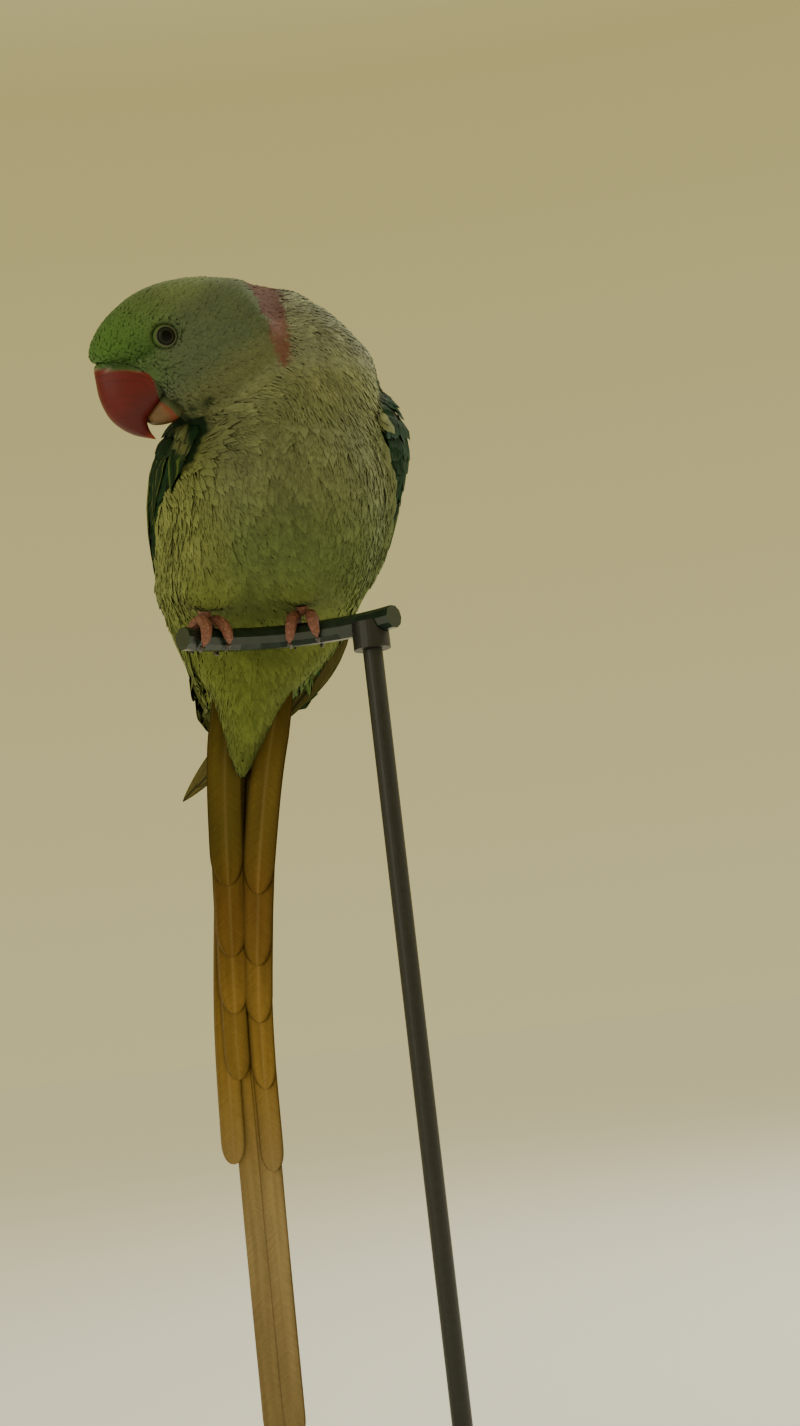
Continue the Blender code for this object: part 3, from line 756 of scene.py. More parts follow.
# what every coat starts from; each adds its pattern, spacing, length, width and tip. tip is how high
# a feather's end stands over the skin, lift how uneven the ends are, soft how far the feathers share
# the skin's shading, and yaw their stray in degrees
vaneLook = {
    "lift": 0.5, "yaw": 8.0, "soft": 0.6, "rootSink": 0.6, "curl": 0.6, "tuck": 0.3, "dome": 0.35,
    "clump": 0.0,
    "outline": (0.75, 1.0, 0.95, 0.62),  # width from root to tip
    "variety": 0.14, "streaks": 0.2, "rootShade": 0.15, "rim": 0.0, "fringe": 0.0, "tipTint": None,
}


def layCoat(name, tree, roots, flow, marks, look, rank=0.0):
    chance = np.random.default_rng(len(name) * 31 + len(roots))
    base, faces, source = patterns[look["pattern"]]
    x, y, arch = base.T[:, None]
    count, size = len(roots), len(base)
    upper = source == np.arange(size)
    spots, ways = ground(tree, roots)
    turn = chance.normal(0, math.radians(look["yaw"]), count)[:, None]
    side = unit(np.cross(flow, ways))
    flow = flow * np.cos(turn) + side * np.sin(turn)
    side = unit(np.cross(flow, ways))
    long = look["length"] * chance.uniform(0.85, 1.15, count)
    wide = (look["width"] * chance.uniform(0.88, 1.12, count)) / 2
    high = look["tip"] * chance.uniform(0.96, 1.04, count) + chance.normal(0, look["lift"] * 0.35, count)
    profile = smoothLine([(v,) for v in look["outline"]])(base[:, 1])[:, 0]
    across = x * profile[None] * wide[:, None]
    # uneven barb ends
    ragged = chance.normal(0, 0.02, (count, size))[:, source] * (y > 0.8) * long[:, None]
    ahead = y * long[:, None] + ragged
    flat = spots[:, None] + flow[:, None] * ahead[..., None] + side[:, None] * across[..., None]
    slim = np.cumsum(upper)[source] - 1
    laid, out = ground(tree, flat[:, upper].reshape(-1, 3))
    laid, out = laid.reshape(count, -1, 3)[:, slim], out.reshape(count, -1, 3)[:, slim]
    out = unit(out * 0.7 + ways[:, None] * 0.3)
    sink = look["rootSink"]
    rise = -sink + (high + sink)[:, None] * y ** look["curl"]
    rise = rise + look["dome"] * arch * (0.3 + 0.7 * y) - look["tuck"] * ease(y, 0.6, 1.0)
    rise = rise + np.reshape(rank, (-1, 1))
    # feathers cling together in tufts, some standing prouder than others
    tuft = np.array([noise.noise(Vector(p) / 7.5) for p in spots])
    rise = rise + look["clump"] * tuft[:, None] * y
    tilt = chance.normal(0, 0.12, count)[:, None] * x * look["lift"]
    points = (laid + out * (rise + tilt)[..., None]).reshape(-1, 3)
    jitter = (chance.normal(0, 0.7, (count, 1, 3)) + laid).reshape(-1, 3)
    colours = marks(jitter).reshape(count, size, 3)
    centre = onUnwrap(spots)
    streak = np.array([noise.noise(Vector((a * 52, b * 11, 0)))
                       + 0.6 * noise.noise(Vector((a * 110, b * 26, 5))) for a, b in centre])
    tone = chance.normal(1.0, look["variety"], count) + look["streaks"] * streak + 0.3 * look["clump"] * tuft
    hue = 1 + chance.normal(0, look["variety"] * 0.3, (count, 1, 3))
    rootward = 1 - look["rootShade"] + 1.2 * look["rootShade"] * y[..., None]
    colours = colours * np.clip(tone[:, None, None], 0.55, 1.5) * hue * rootward
    colours = colours + (palette["rim"] - colours) * (look["rim"] * ease(np.abs(x), 0.62, 0.9)[..., None])
    pale = colours * 1.5 + 0.02 if look["tipTint"] is None else look["tipTint"]
    share = look["fringe"] * ease(y, 0.72, 1.0)[..., None]
    colours = colours * (1 - share) + pale * share
    colours = np.clip(colours, 0.003, 0.9).reshape(-1, 3)
    own = out + side[:, None] * (x * 0.55)[..., None] - flow[:, None] * 0.12
    normals = unit(own * (1 - look["soft"]) + out * look["soft"])
    normals[:, ~upper] *= -1
    copies = (faces[None] + (np.arange(count) * size)[:, None, None]).reshape(-1, 3)
    lane = np.stack([across * mm, ahead * mm], axis=-1).reshape(-1, 2)
    patch = np.stack([base[:, 0] * 0.0015, (base[:, 1] - 0.5) * 0.003], axis=-1)
    unwrap = (centre[:, None] + patch[None]).reshape(-1, 2)
    made = meshFrom(name, points * mm, copies, lane, unwrap, colours, normals.reshape(-1, 3))
    print(f"{name}: {count} feathers, {len(copies)} triangles")
    return made


eyeLook = {
    "place": (8.6, 3.1), "side": 14.7, "radius": 5.0, "iris": 2.9, "pupil": 1.9,
    "clear": 3.35,  # no feather roots within this of a point beside the eye
    "clearSide": 19.0,
    # radius of the ring, how far out it lies, its thickness and its colour
    "lids": {"lid": (3.45, 3.62, 0.24, "#20241a"), "fold": (3.85, 3.32, 0.3, "#5c604c")},
    "tints": tintsOf({"pupil": "#070907", "edge": "#141a12", "iris": "#3c4230", "ring": "#0c0f0b"}),
}
onHead = (regions == "head") & (beyondEdge(headPlace(skinSpots)) < -0.2)
for s in (1, -1):
    eye = np.array(inHead(*eyeLook["place"], s * eyeLook["clearSide"]))
    onHead &= np.linalg.norm(skinSpots - eye, axis=1) > eyeLook["clear"]


def laySpots(mask, look, seed):
    roots = scatter(skin.data, look["spacing"], mask, seed)
    return roots, coatFlow(*ground(skinTree, roots))


def halves(labels, roots, flow, first):
    # so that each coat piece stays small
    return (labels[0], roots[first], flow[first]), (labels[1], roots[~first], flow[~first])


# the loose feathers of the flank lie over the front of each folded wing, below this line
flankLook = {
    # height, then how far out the flank reaches on the bird's right and left
    "edge": ((340, -46.0, -30.0), (366, -48.0, -20.0), (384, -52.0, 26.0), (396, -46.5, 43.0),
             (402, -43.0, 49.0), (411, -40.5, 52.5), (423, -37.9, 56.0), (430, -34.8, 57.0),
             (434.5, -27.9, 56.0), (437, -21.7, 54.0), (443, -17.0, 52.5), (470, -10.0, 50.0)),
    # height, then how far back it reaches on the right wing
    "rear": ((340, 56), (346, 55), (352, 52), (358, 49), (364, 46), (370, 42), (376, 36), (382, 30),
             (388, 22.8), (392, 19), (392.1, 99)),
    # height, then where the body's left and right halves meet
    "middle": ((330, -16), (460, 14)),
    # how proud its feathers stand beside the wing, from which distance, and the heights where that ends
    "proud": 1.1, "near": (9.0, 2.0), "ends": (462, 446),
}


def onLeft(roots):
    return roots[:, 0] > readTable(flankLook["middle"], roots[:, 2])


def proudness(roots):
    # flank feathers stand over the wing, rising towards it
    gaps = np.array([min(regionTrees[wing].find_nearest(Vector(p) * mm)[3]
                         for wing in ("wing_left", "wing_right")) for p in roots])
    far, near = flankLook["near"]
    return flankLook["proud"] * ease(gaps, far * mm, near * mm) * ease(roots[:, 2], *flankLook["ends"])


x, y, z = skinSpots.T
facing = np.where((x < -16) & (z < 392), 0.85, 0.1)
onFlank = isWing & (skinWays[:, 1] < facing)
onFlank &= (x > readTable(flankLook["edge"], z, 1)) & (x < readTable(flankLook["edge"], z, 2))
onFlank &= (x > -12) | (y < readTable(flankLook["rear"], z))
skinColours[onFlank] = bodyMarkings(skinSpots[onFlank]) * 0.8
paint(skin.data, skinColours)
print("skin painted")

coats = []
headCoat = dict(vaneLook, pattern="short", spacing=1.05, length=3.1, width=1.8, tip=0.8, soft=0.85, yaw=5,
                variety=0.035, lift=0.1, dome=0.12, curl=0.45, streaks=0.1)
napeGrowth = {"length": 4.4, "width": 1.0, "tip": 1.8}
roots, flow = laySpots(onHead, headCoat, 11)
for label, r, way in halves(("left", "right"), roots, flow, headPlace(roots)[:, 2] > 0):
    # larger towards the nape
    back = ease(headPlace(r)[:, 0], 24, -34)
    grown = {key: headCoat[key] + more * back for key, more in napeGrowth.items()}
    coats.append(layCoat(f"coat_head_{label}", skinTree, r, way, bodyMarkings, dict(headCoat, **grown)))

# tiny feathers over the root of the bill
rootCoat = dict(headCoat, spacing=0.8, length=2.6, width=1.4, tip=0.75, dome=0.1, rootSink=0.25)
for label, piece, tree in (("upper", upperBill, upperTree), ("lower", lowerBill, lowerTree)):
    ahead = beyondEdge(headPlace(spotsOf(piece.data)))
    r = scatter(piece.data, rootCoat["spacing"], (ahead < -0.1) & (ahead > -3.6), 15)
    coats.append(layCoat(f"coat_head_{label}", tree, r, coatFlow(*ground(tree, r)), bodyMarkings, rootCoat))

neckCoat = dict(vaneLook, pattern="soft", spacing=1.9, length=10.5, width=4.2, tip=2.7, soft=0.8, yaw=9,
                variety=0.04, lift=0.2, fringe=0.1, dome=0.15, curl=0.5, rootShade=0.06, clump=0.9)
roots, flow = laySpots(regions == "neck", neckCoat, 12)
for label, r, way in halves(("front", "back"), roots, flow, roots[:, 1] < -8):
    coats.append(layCoat(f"coat_neck_{label}", skinTree, r, way, bodyMarkings, neckCoat))

bodyCoat = dict(vaneLook, pattern="soft", spacing=1.95, length=13.5, width=4.2, tip=3.1, soft=0.9, yaw=6,
                variety=0.03, lift=0.1, fringe=0.05, dome=0.1, curl=0.4, rootShade=0.08, clump=0.7)
onBody = np.isin(regions, ("trunk", "leg_left", "leg_right")) | onFlank
roots, flow = laySpots(onBody, bodyCoat, 13)
for label, r, way in halves(("left", "right"), roots, flow, onLeft(roots)):
    # the lowest flank feathers hang in long loose tips
    plume = 1 + ease(r[:, 0], -27, -36) * ease(r[:, 2], 394, 374)
    look = dict(bodyCoat, length=bodyCoat["length"] * plume, width=bodyCoat["width"] - 0.8 * (plume - 1),
                tip=bodyCoat["tip"] + proudness(r))
    coats.append(layCoat(f"coat_body_{label}", skinTree, r, way, bodyMarkings, look))

# long loose plumes hanging from the right flank over the wing
plumeCoat = dict(vaneLook, pattern="long", spacing=2.4, length=30.0, width=3.4, tip=5.2, soft=0.8, yaw=5,
                 variety=0.05, lift=0.4, dome=0.2, curl=0.35, outline=(0.8, 1.0, 0.9, 0.6, 0.2))
roots = laySpots(onFlank & (x < -31) & (z > 358) & (z < 394), plumeCoat, 16)[0]
ways = ground(skinTree, roots)[1]
hang = np.array([0.08, 0.55, -1.0])
flow = unit(hang - ways * (ways @ hang)[:, None])
coats.append(layCoat("coat_plumes", skinTree, roots, flow, bodyMarkings, plumeCoat))

# the wings' inner sides
liningCoat = dict(vaneLook, pattern="scale", spacing=3.4, length=13.0, width=6.0, tip=1.3, soft=0.6, yaw=5,
                  variety=0.08, lift=0.2, dome=0.3, fringe=0.3)


def liningMarks(points):
    return footTinged(plain(palette["covertEdge"], points), points)


lining = isWing & ~onFlank & (skinWays[:, 1] < 0.35) & (z < 402) & (np.abs(x - 2) < 52)
roots, flow = laySpots(lining, liningCoat, 17)
coats.append(layCoat("coat_lining", skinTree, roots, flow, liningMarks, liningCoat))

# fine loose barbs over the soft feathers
barbCoat = dict(vaneLook, pattern="wisp", spacing=1.05, length=8.5, width=1.1, tip=3.45, soft=0.92, yaw=8,
                variety=0.04, lift=0.3, dome=0.05, curl=0.5, clump=0.8, tuck=0.35, rootShade=0.03,
                streaks=0.16, outline=(0.6, 1.0, 0.8, 0.3))
roots, flow = laySpots(onBody | (regions == "neck"), barbCoat, 14)
for label, r, way in halves(("left", "right"), roots, flow, onLeft(roots)):
    look = dict(barbCoat, tip=barbCoat["tip"] - 0.35 * ease(r[:, 2], 462, 474) + proudness(r))
    coats.append(layCoat(f"coat_barbs_{label}", skinTree, r, way, bodyMarkings, look))


# wings: rows of coverts over the quills, all running to the tip of the wing
wingLook = {
    "left": {"tip": (-51.0, 68.5, 313.5), "turn": 1, "stripReach": 166},
    "right": {"tip": (-18.0, 63.5, 284.0), "turn": -1, "stripReach": 186},
    # height, x and y of the trunk's middle, half width and half depth there
    "trunk": ((330, -19.8, 42, 9, 9), (341, -16.4, 38.5, 16, 13.5), (351, -13, 36.5, 22.5, 16.5),
              (362, -9.4, 35, 29, 18), (372, -5.8, 28, 34.5, 22), (383, -2.2, 16, 39, 35),
              (394, 1, 7, 43.2, 43), (404, 4, 3, 46, 45), (419, 7.3, 0, 47.5, 45.5),
              (434, 10.2, -1.2, 47.5, 43.2), (450, 12.8, 0.8, 45, 39.3), (463, 14.8, 2.5, 39.5, 33.5),
              (472, 15.8, 3, 31, 26), (480, 16, 4, 14, 10)),
    "yaw": 12.0,
    # distance from the wing's tip, length, width, spacing and height over the row below
    "coverts": [(198 - 5.0 * i, 11.0, 6.6, 4.6, 0.0) for i in range(14)] + [
        (127, 14, 8, 5.6, 0.1), (121, 17, 9, 6.2, 0.2), (114, 25, 10.5, 7.0, 0.35)],
    # first and last share across the wing, and how many
    "strips": (0.0, 0.36, 6), "secondaries": (0.30, 0.97, 13),
    "stripDrop": 30, "secondaryReach": 106, "secondaryLength": 62,
}
wingTrees = {side: treeOf(nodes[f"wing_{side}"].data) for side in ("left", "right")}


def wingTable(side):
    # the wing's outer side, found by looking inwards from all round the trunk
    yaw = math.radians(wingLook["yaw"])
    sideways = np.array([math.cos(yaw), math.sin(yaw), 0])
    rearward = np.array([-math.sin(yaw), math.cos(yaw), 0])
    found = []
    for height in np.arange(334.0, 476.0, 1.5):
        x, y, half, deep = [readTable(wingLook["trunk"], height, i) for i in range(1, 5)]
        for swing in np.arange(-46.0, 100.0, 2.0):
            turn = math.radians(swing)
            outward = wingLook[side]["turn"] * half * math.cos(turn) * sideways
            away = unit(outward + deep * math.sin(turn) * rearward)
            start = np.array([x, y, height]) + away * 110
            hit = wingTrees[side].ray_cast(Vector(start) * mm, Vector(-away), 0.1)
            if hit[0] is not None:
                found.append((swing, *(hit[0] / mm), *hit[1]))
    return np.array(found)


wingTables = {side: wingTable(side) for side in ("left", "right")}
wingArcs = {}


def wingArc(side, reach):
    # a line across the wing at one distance from its tip, from the leading to the trailing edge
    key = (side, round(reach * 2) / 2)
    if key not in wingArcs:
        table = wingTables[side]
        away = np.linalg.norm(table[:, 1:4] - np.array(wingLook[side]["tip"]), axis=1)
        near = table[np.abs(away - key[1]) < 2.2]
        rows = []
        for swing in np.unique(np.round(near[:, 0] / 4) * 4):
            part = near[np.abs(near[:, 0] - swing) <= 2]
            rows.append(part[:, 1:4].mean(axis=0))
        wingArcs[key] = np.array(rows)
    return wingArcs[key]


def wingPoint(side, share, reach):
    # a place on that line, and the line's length
    line = wingArc(side, reach)
    run = np.concatenate([[0], np.cumsum(np.linalg.norm(np.diff(line, axis=0), axis=1))])
    return np.array([np.interp(share * run[-1], run, line[:, i]) for i in range(3)]), run[-1]


def wingRow(side, reach, spacing, shift):
    count = max(2, int(wingPoint(side, 0, reach)[1] / spacing))
    shares = (np.arange(count) + 0.5 + shift) / count
    return np.array([wingPoint(side, min(1, s), reach)[0] for s in shares])


def wingMarks(side):
    tip = np.array(wingLook[side]["tip"])

    def marks(points):
        reach = np.linalg.norm(points - tip, axis=1)
        colour = mixed(plain(palette["covert"], points), palette["covertDark"], ease(reach, 128, 100))
        lead = np.array([wingPoint(side, 0.0, r)[0] for r in np.clip(reach, 70, 186)])
        gap = np.linalg.norm(points - lead, axis=1)
        patch = ease(reach, 197, 190) * ease(reach, 146, 156) * ease(gap, 54, 47) * ease(gap, 31, 36)
        colour = mixed(colour, palette["patch"], patch)
        if side == "left":
            return colour
        # painted rim light along the inner coverts by the breast, where light from behind catches their edge
        x, y, z = points.T
        pale = ease(x, -30, -28) * ease(x, -22.5, -24) * ease(z, 438, 442) * ease(z, 470, 466)
        colour = mixed(colour, palette["edge"], pale * ease(y, -8, -14))
        return footTinged(colour, points)

    return marks


def layWing(kind, side, roots, look, rank):
    # feathers on the wing's own surface, running to its tip
    tree = wingTrees[side]
    spots, ways = ground(tree, roots)
    flow = unit(np.array(wingLook[side]["tip"]) - spots)
    flow = unit(flow - ways * np.sum(flow * ways, axis=1, keepdims=True))
    coats.append(layCoat(f"coat_{kind}_{side}", tree, roots, flow, wingMarks(side), look, rank))


covertCoat = dict(vaneLook, pattern="scale", tip=0.35, soft=0.4, yaw=4, variety=0.08, lift=0.25, fringe=0.45,
                  rootSink=1.2, outline=(0.6, 1.0, 1.05, 0.85), tipTint=palette["covertEdge"], dome=0.4)
# long narrow coverts and quills along the leading edge, showing their pale rims
stripCoat = dict(vaneLook, pattern="long", length=52.0, width=6.4, tip=0.5, soft=0.3, yaw=0.5, variety=0.05,
                 lift=0.1, rootSink=0.4, outline=(0.7, 1.0, 1.0, 1.0, 0.9, 0.6), dome=0.5, rim=1.0,
                 streaks=0.0)
# secondaries and tertials, the innermost on top
secondaryCoat = dict(vaneLook, pattern="long", width=12.5, tip=0.2, soft=0.4, yaw=1, variety=0.06, lift=0.1,
                     rootSink=1.0, outline=(0.7, 0.95, 1.0, 1.0, 0.95, 0.85), dome=0.5)
for side in ("left", "right"):
    rows, sizes = [], []
    for i, (reach, long, wide, spacing, rank) in enumerate(wingLook["coverts"]):
        if len(wingArc(side, reach)) < 3:
            continue
        rows.append(wingRow(side, reach, spacing * (1), 0.25 * (-1) ** i))
        sizes += [(long, wide, rank)] * len(rows[-1])
    long, wide, rank = np.array(sizes, float).T
    layWing("wing", side, np.concatenate(rows), dict(covertCoat, length=long, width=wide), rank)
    reach, drop = wingLook[side]["stripReach"], wingLook["stripDrop"]
    shares = np.linspace(*wingLook["strips"])
    roots = np.array([wingPoint(side, s, reach - drop * s)[0] for s in shares])
    layWing("strips", side, roots, stripCoat, 0.5 - 0.05 * np.arange(len(shares)))
    shares, reach = np.linspace(*wingLook["secondaries"]), wingLook["secondaryReach"]
    roots = np.array([wingPoint(side, s, reach - 4 * (1 - s))[0] for s in shares])
    # the outermost and the innermost are shorter
    long = wingLook["secondaryLength"] - 18 * ease(shares, 0.7, 1.0) - 30 * ease(shares, 0.55, 0.33)
    layWing("secondaries", side, roots, dict(secondaryCoat, length=long), 0.12 * np.arange(len(shares)))

coatWear = {"wing": featherQuill, "secondaries": featherQuill, "strips": featherQuill, "neck": featherNeck}
for coat in coats:
    coat.data.materials.append(coatWear.get(coat.name.split("_")[1], featherCoat))


def blade(line, half, way, layers, left, room, marks, look):
    # a long feather: a grid drawn out along a line, cupped across, with its underside closed
    shape = bmesh.new()
    tones = shape.verts.layers.float_color.new("plumage")
    layer = shape.loops.layers.uv.new("OFBake")
    second = shape.loops.layers.uv.new("Vane")
    bmesh.ops.create_grid(shape, x_segments=look["across"], y_segments=layers, size=1)
    top = list(shape.verts)
    extra = bmesh.ops.duplicate(shape, geom=shape.verts[:] + shape.edges[:] + shape.faces[:])["geom"]
    under = [g for g in extra if isinstance(g, bmesh.types.BMVert)]
    bmesh.ops.reverse_faces(shape, faces=[g for g in extra if isinstance(g, bmesh.types.BMFace)])
    span = float(np.linalg.norm(line([1.0])[0] - line([0.0])[0]))
    tip = look["blunt"] * half / span
    sharp = look["sharp"]
    laneOf = {}
    for group, sign in ((top, 1), (under, -1)):
        for v in group:
            x, t = v.co.x, (v.co.y + 1) / 2
            y = 1 - (1 - t) ** 1.6
            near = max(0.0, (y - (1 - tip)) / tip)
            rounded = max(0.0, 1 - near ** sharp) ** (0.5 if sharp > 2 else 0.8)
            taper = float(np.interp(y, [0, 0.12, 0.3, 1], [0.45, 0.85, 1, 0.92])) * rounded
            ahead = line([min(1, y + 0.01)])[0] - line([max(0, y - 0.01)])[0]
            run = ahead / np.linalg.norm(ahead)
            out = unit(np.asarray(way, float))
            out = unit(out - run * (out @ run))
            wide = half * taper
            lift = look["thick"] / 2 * (1 - x * x) * sign * min(1.0, 0.15 + taper)
            cupped = out * (lift - look["camber"] * wide * x * x)
            v.co = Vector(line([y])[0] + np.cross(run, out) * wide * x + cupped) * mm
            v[tones] = (*marks(x, y, sign, v.co / mm), 1.0)
            laneOf[v] = (wide * x, y)
    underSet = set(under)
    for f in shape.faces:
        below = 0.5 if f.verts[0] in underSet else 0.0
        for loop in f.loops:
            w, y = laneOf[loop.vert]
            loop[layer].uv = (left + room * (0.25 + 0.23 * w / half + below), 0.01 + 0.98 * y)
            loop[second].uv = (w * mm, y * span * mm)
    bmesh.ops.remove_doubles(shape, verts=shape.verts, dist=0.000002)
    mesh = bpy.data.meshes.new("quill")
    shape.to_mesh(mesh)
    shape.free()
    return mesh


def joinMeshes(name, meshes, material):
    shape = bmesh.new()
    for mesh in meshes:
        shape.from_mesh(mesh)
        bpy.data.meshes.remove(mesh)
    made = newPiece(name, shape)
    made.data.materials.append(material)
    return made


tailLook = {
    "line": ((-11.0, 44.0, 362.0), (-14.4, 47.0, 346.0), (-18.6, 50.0, 328.0), (-24.6, 56.0, 290.0),
             (-28.2, 60.5, 258.0), (-31.6, 65.0, 220.0), (-33.5, 72.0, 157.0), (-35.6, 84.0, 40.0)),
    # tip height, half width, offset at the root, then at the tip on the bird's right and left
    "pairs": ((40.0, 5.3, 4.0, 4.3, 4.3), (157.0, 5.6, 5.4, 10.8, 5.6), (192.0, 6.0, 6.6, 5.4, 5.4),
              (220.0, 7.0, 8.4, 5.2, 5.0), (244.0, 7.6, 9.6, 5.6, 5.0), (274.0, 8.2, 11.6, 6.8, 5.8)),
    "layer": 0.9, "fan": 0.018, "leftShorter": 5.0,
    "blade": {"across": 10, "camber": 0.06, "thick": 0.5, "blunt": 1.9, "sharp": 2.4},
    "tints": tintsOf({"under": "#694f21", "ochre": "#856a30", "low": "#94805a", "rim": "#3a2a10",
                      "moss": "#4f4f1e", "shaft": "#a8926a", "over": "#3d6b34", "blue": "#35706e",
                      "tip": "#a59a40"}),
}


def readByHeight(rows):
    # the same smooth line, read by height
    rows = np.array(rows, float)[::-1]
    heights = rows[:, 2]
    slopes = np.gradient(rows, heights, axis=0)

    def read(height):
        h = np.clip(height, heights[0], heights[-1])
        i = int(np.clip(np.searchsorted(heights, h) - 1, 0, len(heights) - 2))
        span = heights[i + 1] - heights[i]
        s = (h - heights[i]) / span
        return ((2*s**3 - 3*s**2 + 1)*rows[i] + (s**3 - 2*s**2 + s)*span*slopes[i]
                + (3*s**2 - 2*s**3)*rows[i + 1] + (s**3 - s**2)*span*slopes[i + 1])

    return read


def blend(one, other, share):
    return one * (1 - share) + other * share


def tailMarks(side, rank):
    shift = np.random.default_rng(40 + rank * 2 + (side > 0)).uniform(-1, 1, 3)
    tints = tailLook["tints"]

    def marks(x, y, sign, spot):
        if sign < 0 or abs(x) > 0.92 or y > 0.975:
            # underside and edges
            low = ease(spot[2], 205, 120)
            edge = ease(abs(x), 0.62, 1.0)
            colour = blend(tints["under"], tints["ochre"], ease(spot[2], 270, 200))
            colour = blend(colour, tints["low"], low)
            colour = blend(colour, tints["moss"], (0.55 if side < 0 else 0.4) * ease(spot[2], 262, 300))
            darker = tints["rim"] * edge * 0.6 * (1 - 0.5 * low)
            colour = colour * (1 - edge * 0.6) + darker + colour * edge * 0.3 * low
            pale = 0.1 * ease(abs(x), 0.22, 0.0)
            if side < 0:
                pale = pale + 0.35 * ease(x * side, 0.78, 0.95) * ease(spot[2], 290, 262)
            colour = blend(colour, tints["shaft"], pale)
        else:
            inner, onward = ease(rank, 2.5, 0.5), ease(y, 0.1, 0.5)
            colour = tints["over"] * (1 - inner * onward) + tints["blue"] * inner * onward
            colour = blend(colour, tints["tip"], ease(y, 0.78, 0.97))
        place = Vector((x * 2.5 + shift[1] * 9, spot[2] / 34, shift[2] * 9))
        return colour * (1 + 0.1 * shift[0] + 0.3 * noise.noise(place))

    return marks


tailAt = readByHeight(tailLook["line"])
tailTop = tailLook["line"][0][2]
tailMeshes = []
for rank, (tip, half, rootOffset, rightOffset, leftOffset) in enumerate(tailLook["pairs"]):
    for side in (1, -1):
        onLeftSide = side > 0
        end = tip - (tailLook["leftShorter"] if onLeftSide and rank else 0)
        tipOffset = leftOffset if onLeftSide else rightOffset
        below = (rank + 0.5 + (0.25 if onLeftSide else 0)) * tailLook["layer"] * 0.92
        rows = []
        for gone in np.linspace(0, 1, 15):
            height = tailTop + (end - tailTop) * gone
            x, y, _ = tailAt(height)
            lateral = side * (rootOffset + (tipOffset - rootOffset) * gone)
            rows.append((x + lateral, y - below - tailLook["fan"] * lateral ** 2, height))
        way = (2 * tailLook["fan"] * side * rootOffset, 1, 0.12)
        left = rank / 6 + (0.083 if onLeftSide else 0.0)
        tailMeshes.append(blade(smoothLine(rows), half, way, 46 - 4 * rank, left, 0.08,
                                tailMarks(side, rank), tailLook["blade"]))
tail = joinMeshes("tail_feathers", tailMeshes, featherTail)
print("tail:", len(tail.data.polygons), "faces")

primaryLook = {
    # the fan of quills of each wing: its middle line and the fan's half width along it
    "lines": {
        "left": ((26.0, 46.0, 384.0, 10.0), (12.0, 54.0, 366.0, 12.0), (-4.0, 59.5, 350.0, 13.0),
                 (-20.0, 63.5, 336.0, 10.0), (-36.0, 66.5, 324.0, 6.0), (-51.0, 68.5, 313.5, 1.0)),
        "right": ((-33.0, 42.0, 388.0, 10.0), (-30.0, 50.0, 366.0, 11.0), (-27.0, 55.5, 345.0, 12.0),
                  (-24.0, 59.0, 324.0, 10.0), (-21.0, 61.5, 304.0, 6.0), (-18.0, 63.5, 284.0, 1.0)),
    },
    "half": 5.4, "count": 7, "shorter": 0.095,
    "blade": {"across": 6, "camber": 0.1, "thick": 0.35, "blunt": 5.5, "sharp": 1.5},
    "tints": tintsOf({"under": "#655d38", "worn": "#6f6538"}),
}


def quillMarks(x, y, sign, spot):
    colour = palette["covert"] if x > -0.2 else palette["covertDark"] * 0.8
    if sign < 0:
        colour = primaryLook["tints"]["under"]
    foot = wingFoot(np.array([spot]))[0] * ease(spot[2], 336, 348)
    colour = blend(colour, palette["flank"] * 0.6, foot)
    rim = 0.6 * ease(abs(x), 0.75, 1.0)
    colour = colour * (1 - rim) + palette["rim"] * rim * 0.6
    return blend(colour, primaryLook["tints"]["worn"], 0.6 * ease(spot[1], 56, 66))


quills = []
for side, rows in primaryLook["lines"].items():
    centre = smoothLine(rows)
    run = unit(np.array(rows[-1][:3]) - np.array(rows[0][:3]))
    outward = unit(np.array([0.0, 1.0, 0.0]) - run * run[1])
    lateral = np.cross(run, outward)
    meshes = []
    for k in range(primaryLook["count"]):
        reach = 1.0 - primaryLook["shorter"] * k
        line = []
        for t in np.linspace(0, 1, 12):
            c = centre([t * reach])[0]
            offset = (k - 3) / 3 * 0.55 * c[3] * (1 if side == "left" else -1)
            line.append(c[:3] + lateral * offset * (1 - 0.2 * t) + outward * (1.1 - 0.38 * k))
        meshes.append(blade(smoothLine(line), primaryLook["half"], outward, 20, k / 7, 0.95 / 7,
                            quillMarks, primaryLook["blade"]))
    quills.append(joinMeshes(f"primaries_{side}", meshes, featherQuill))
print("quills:", sum(len(piece.data.polygons) for piece in quills), "faces")

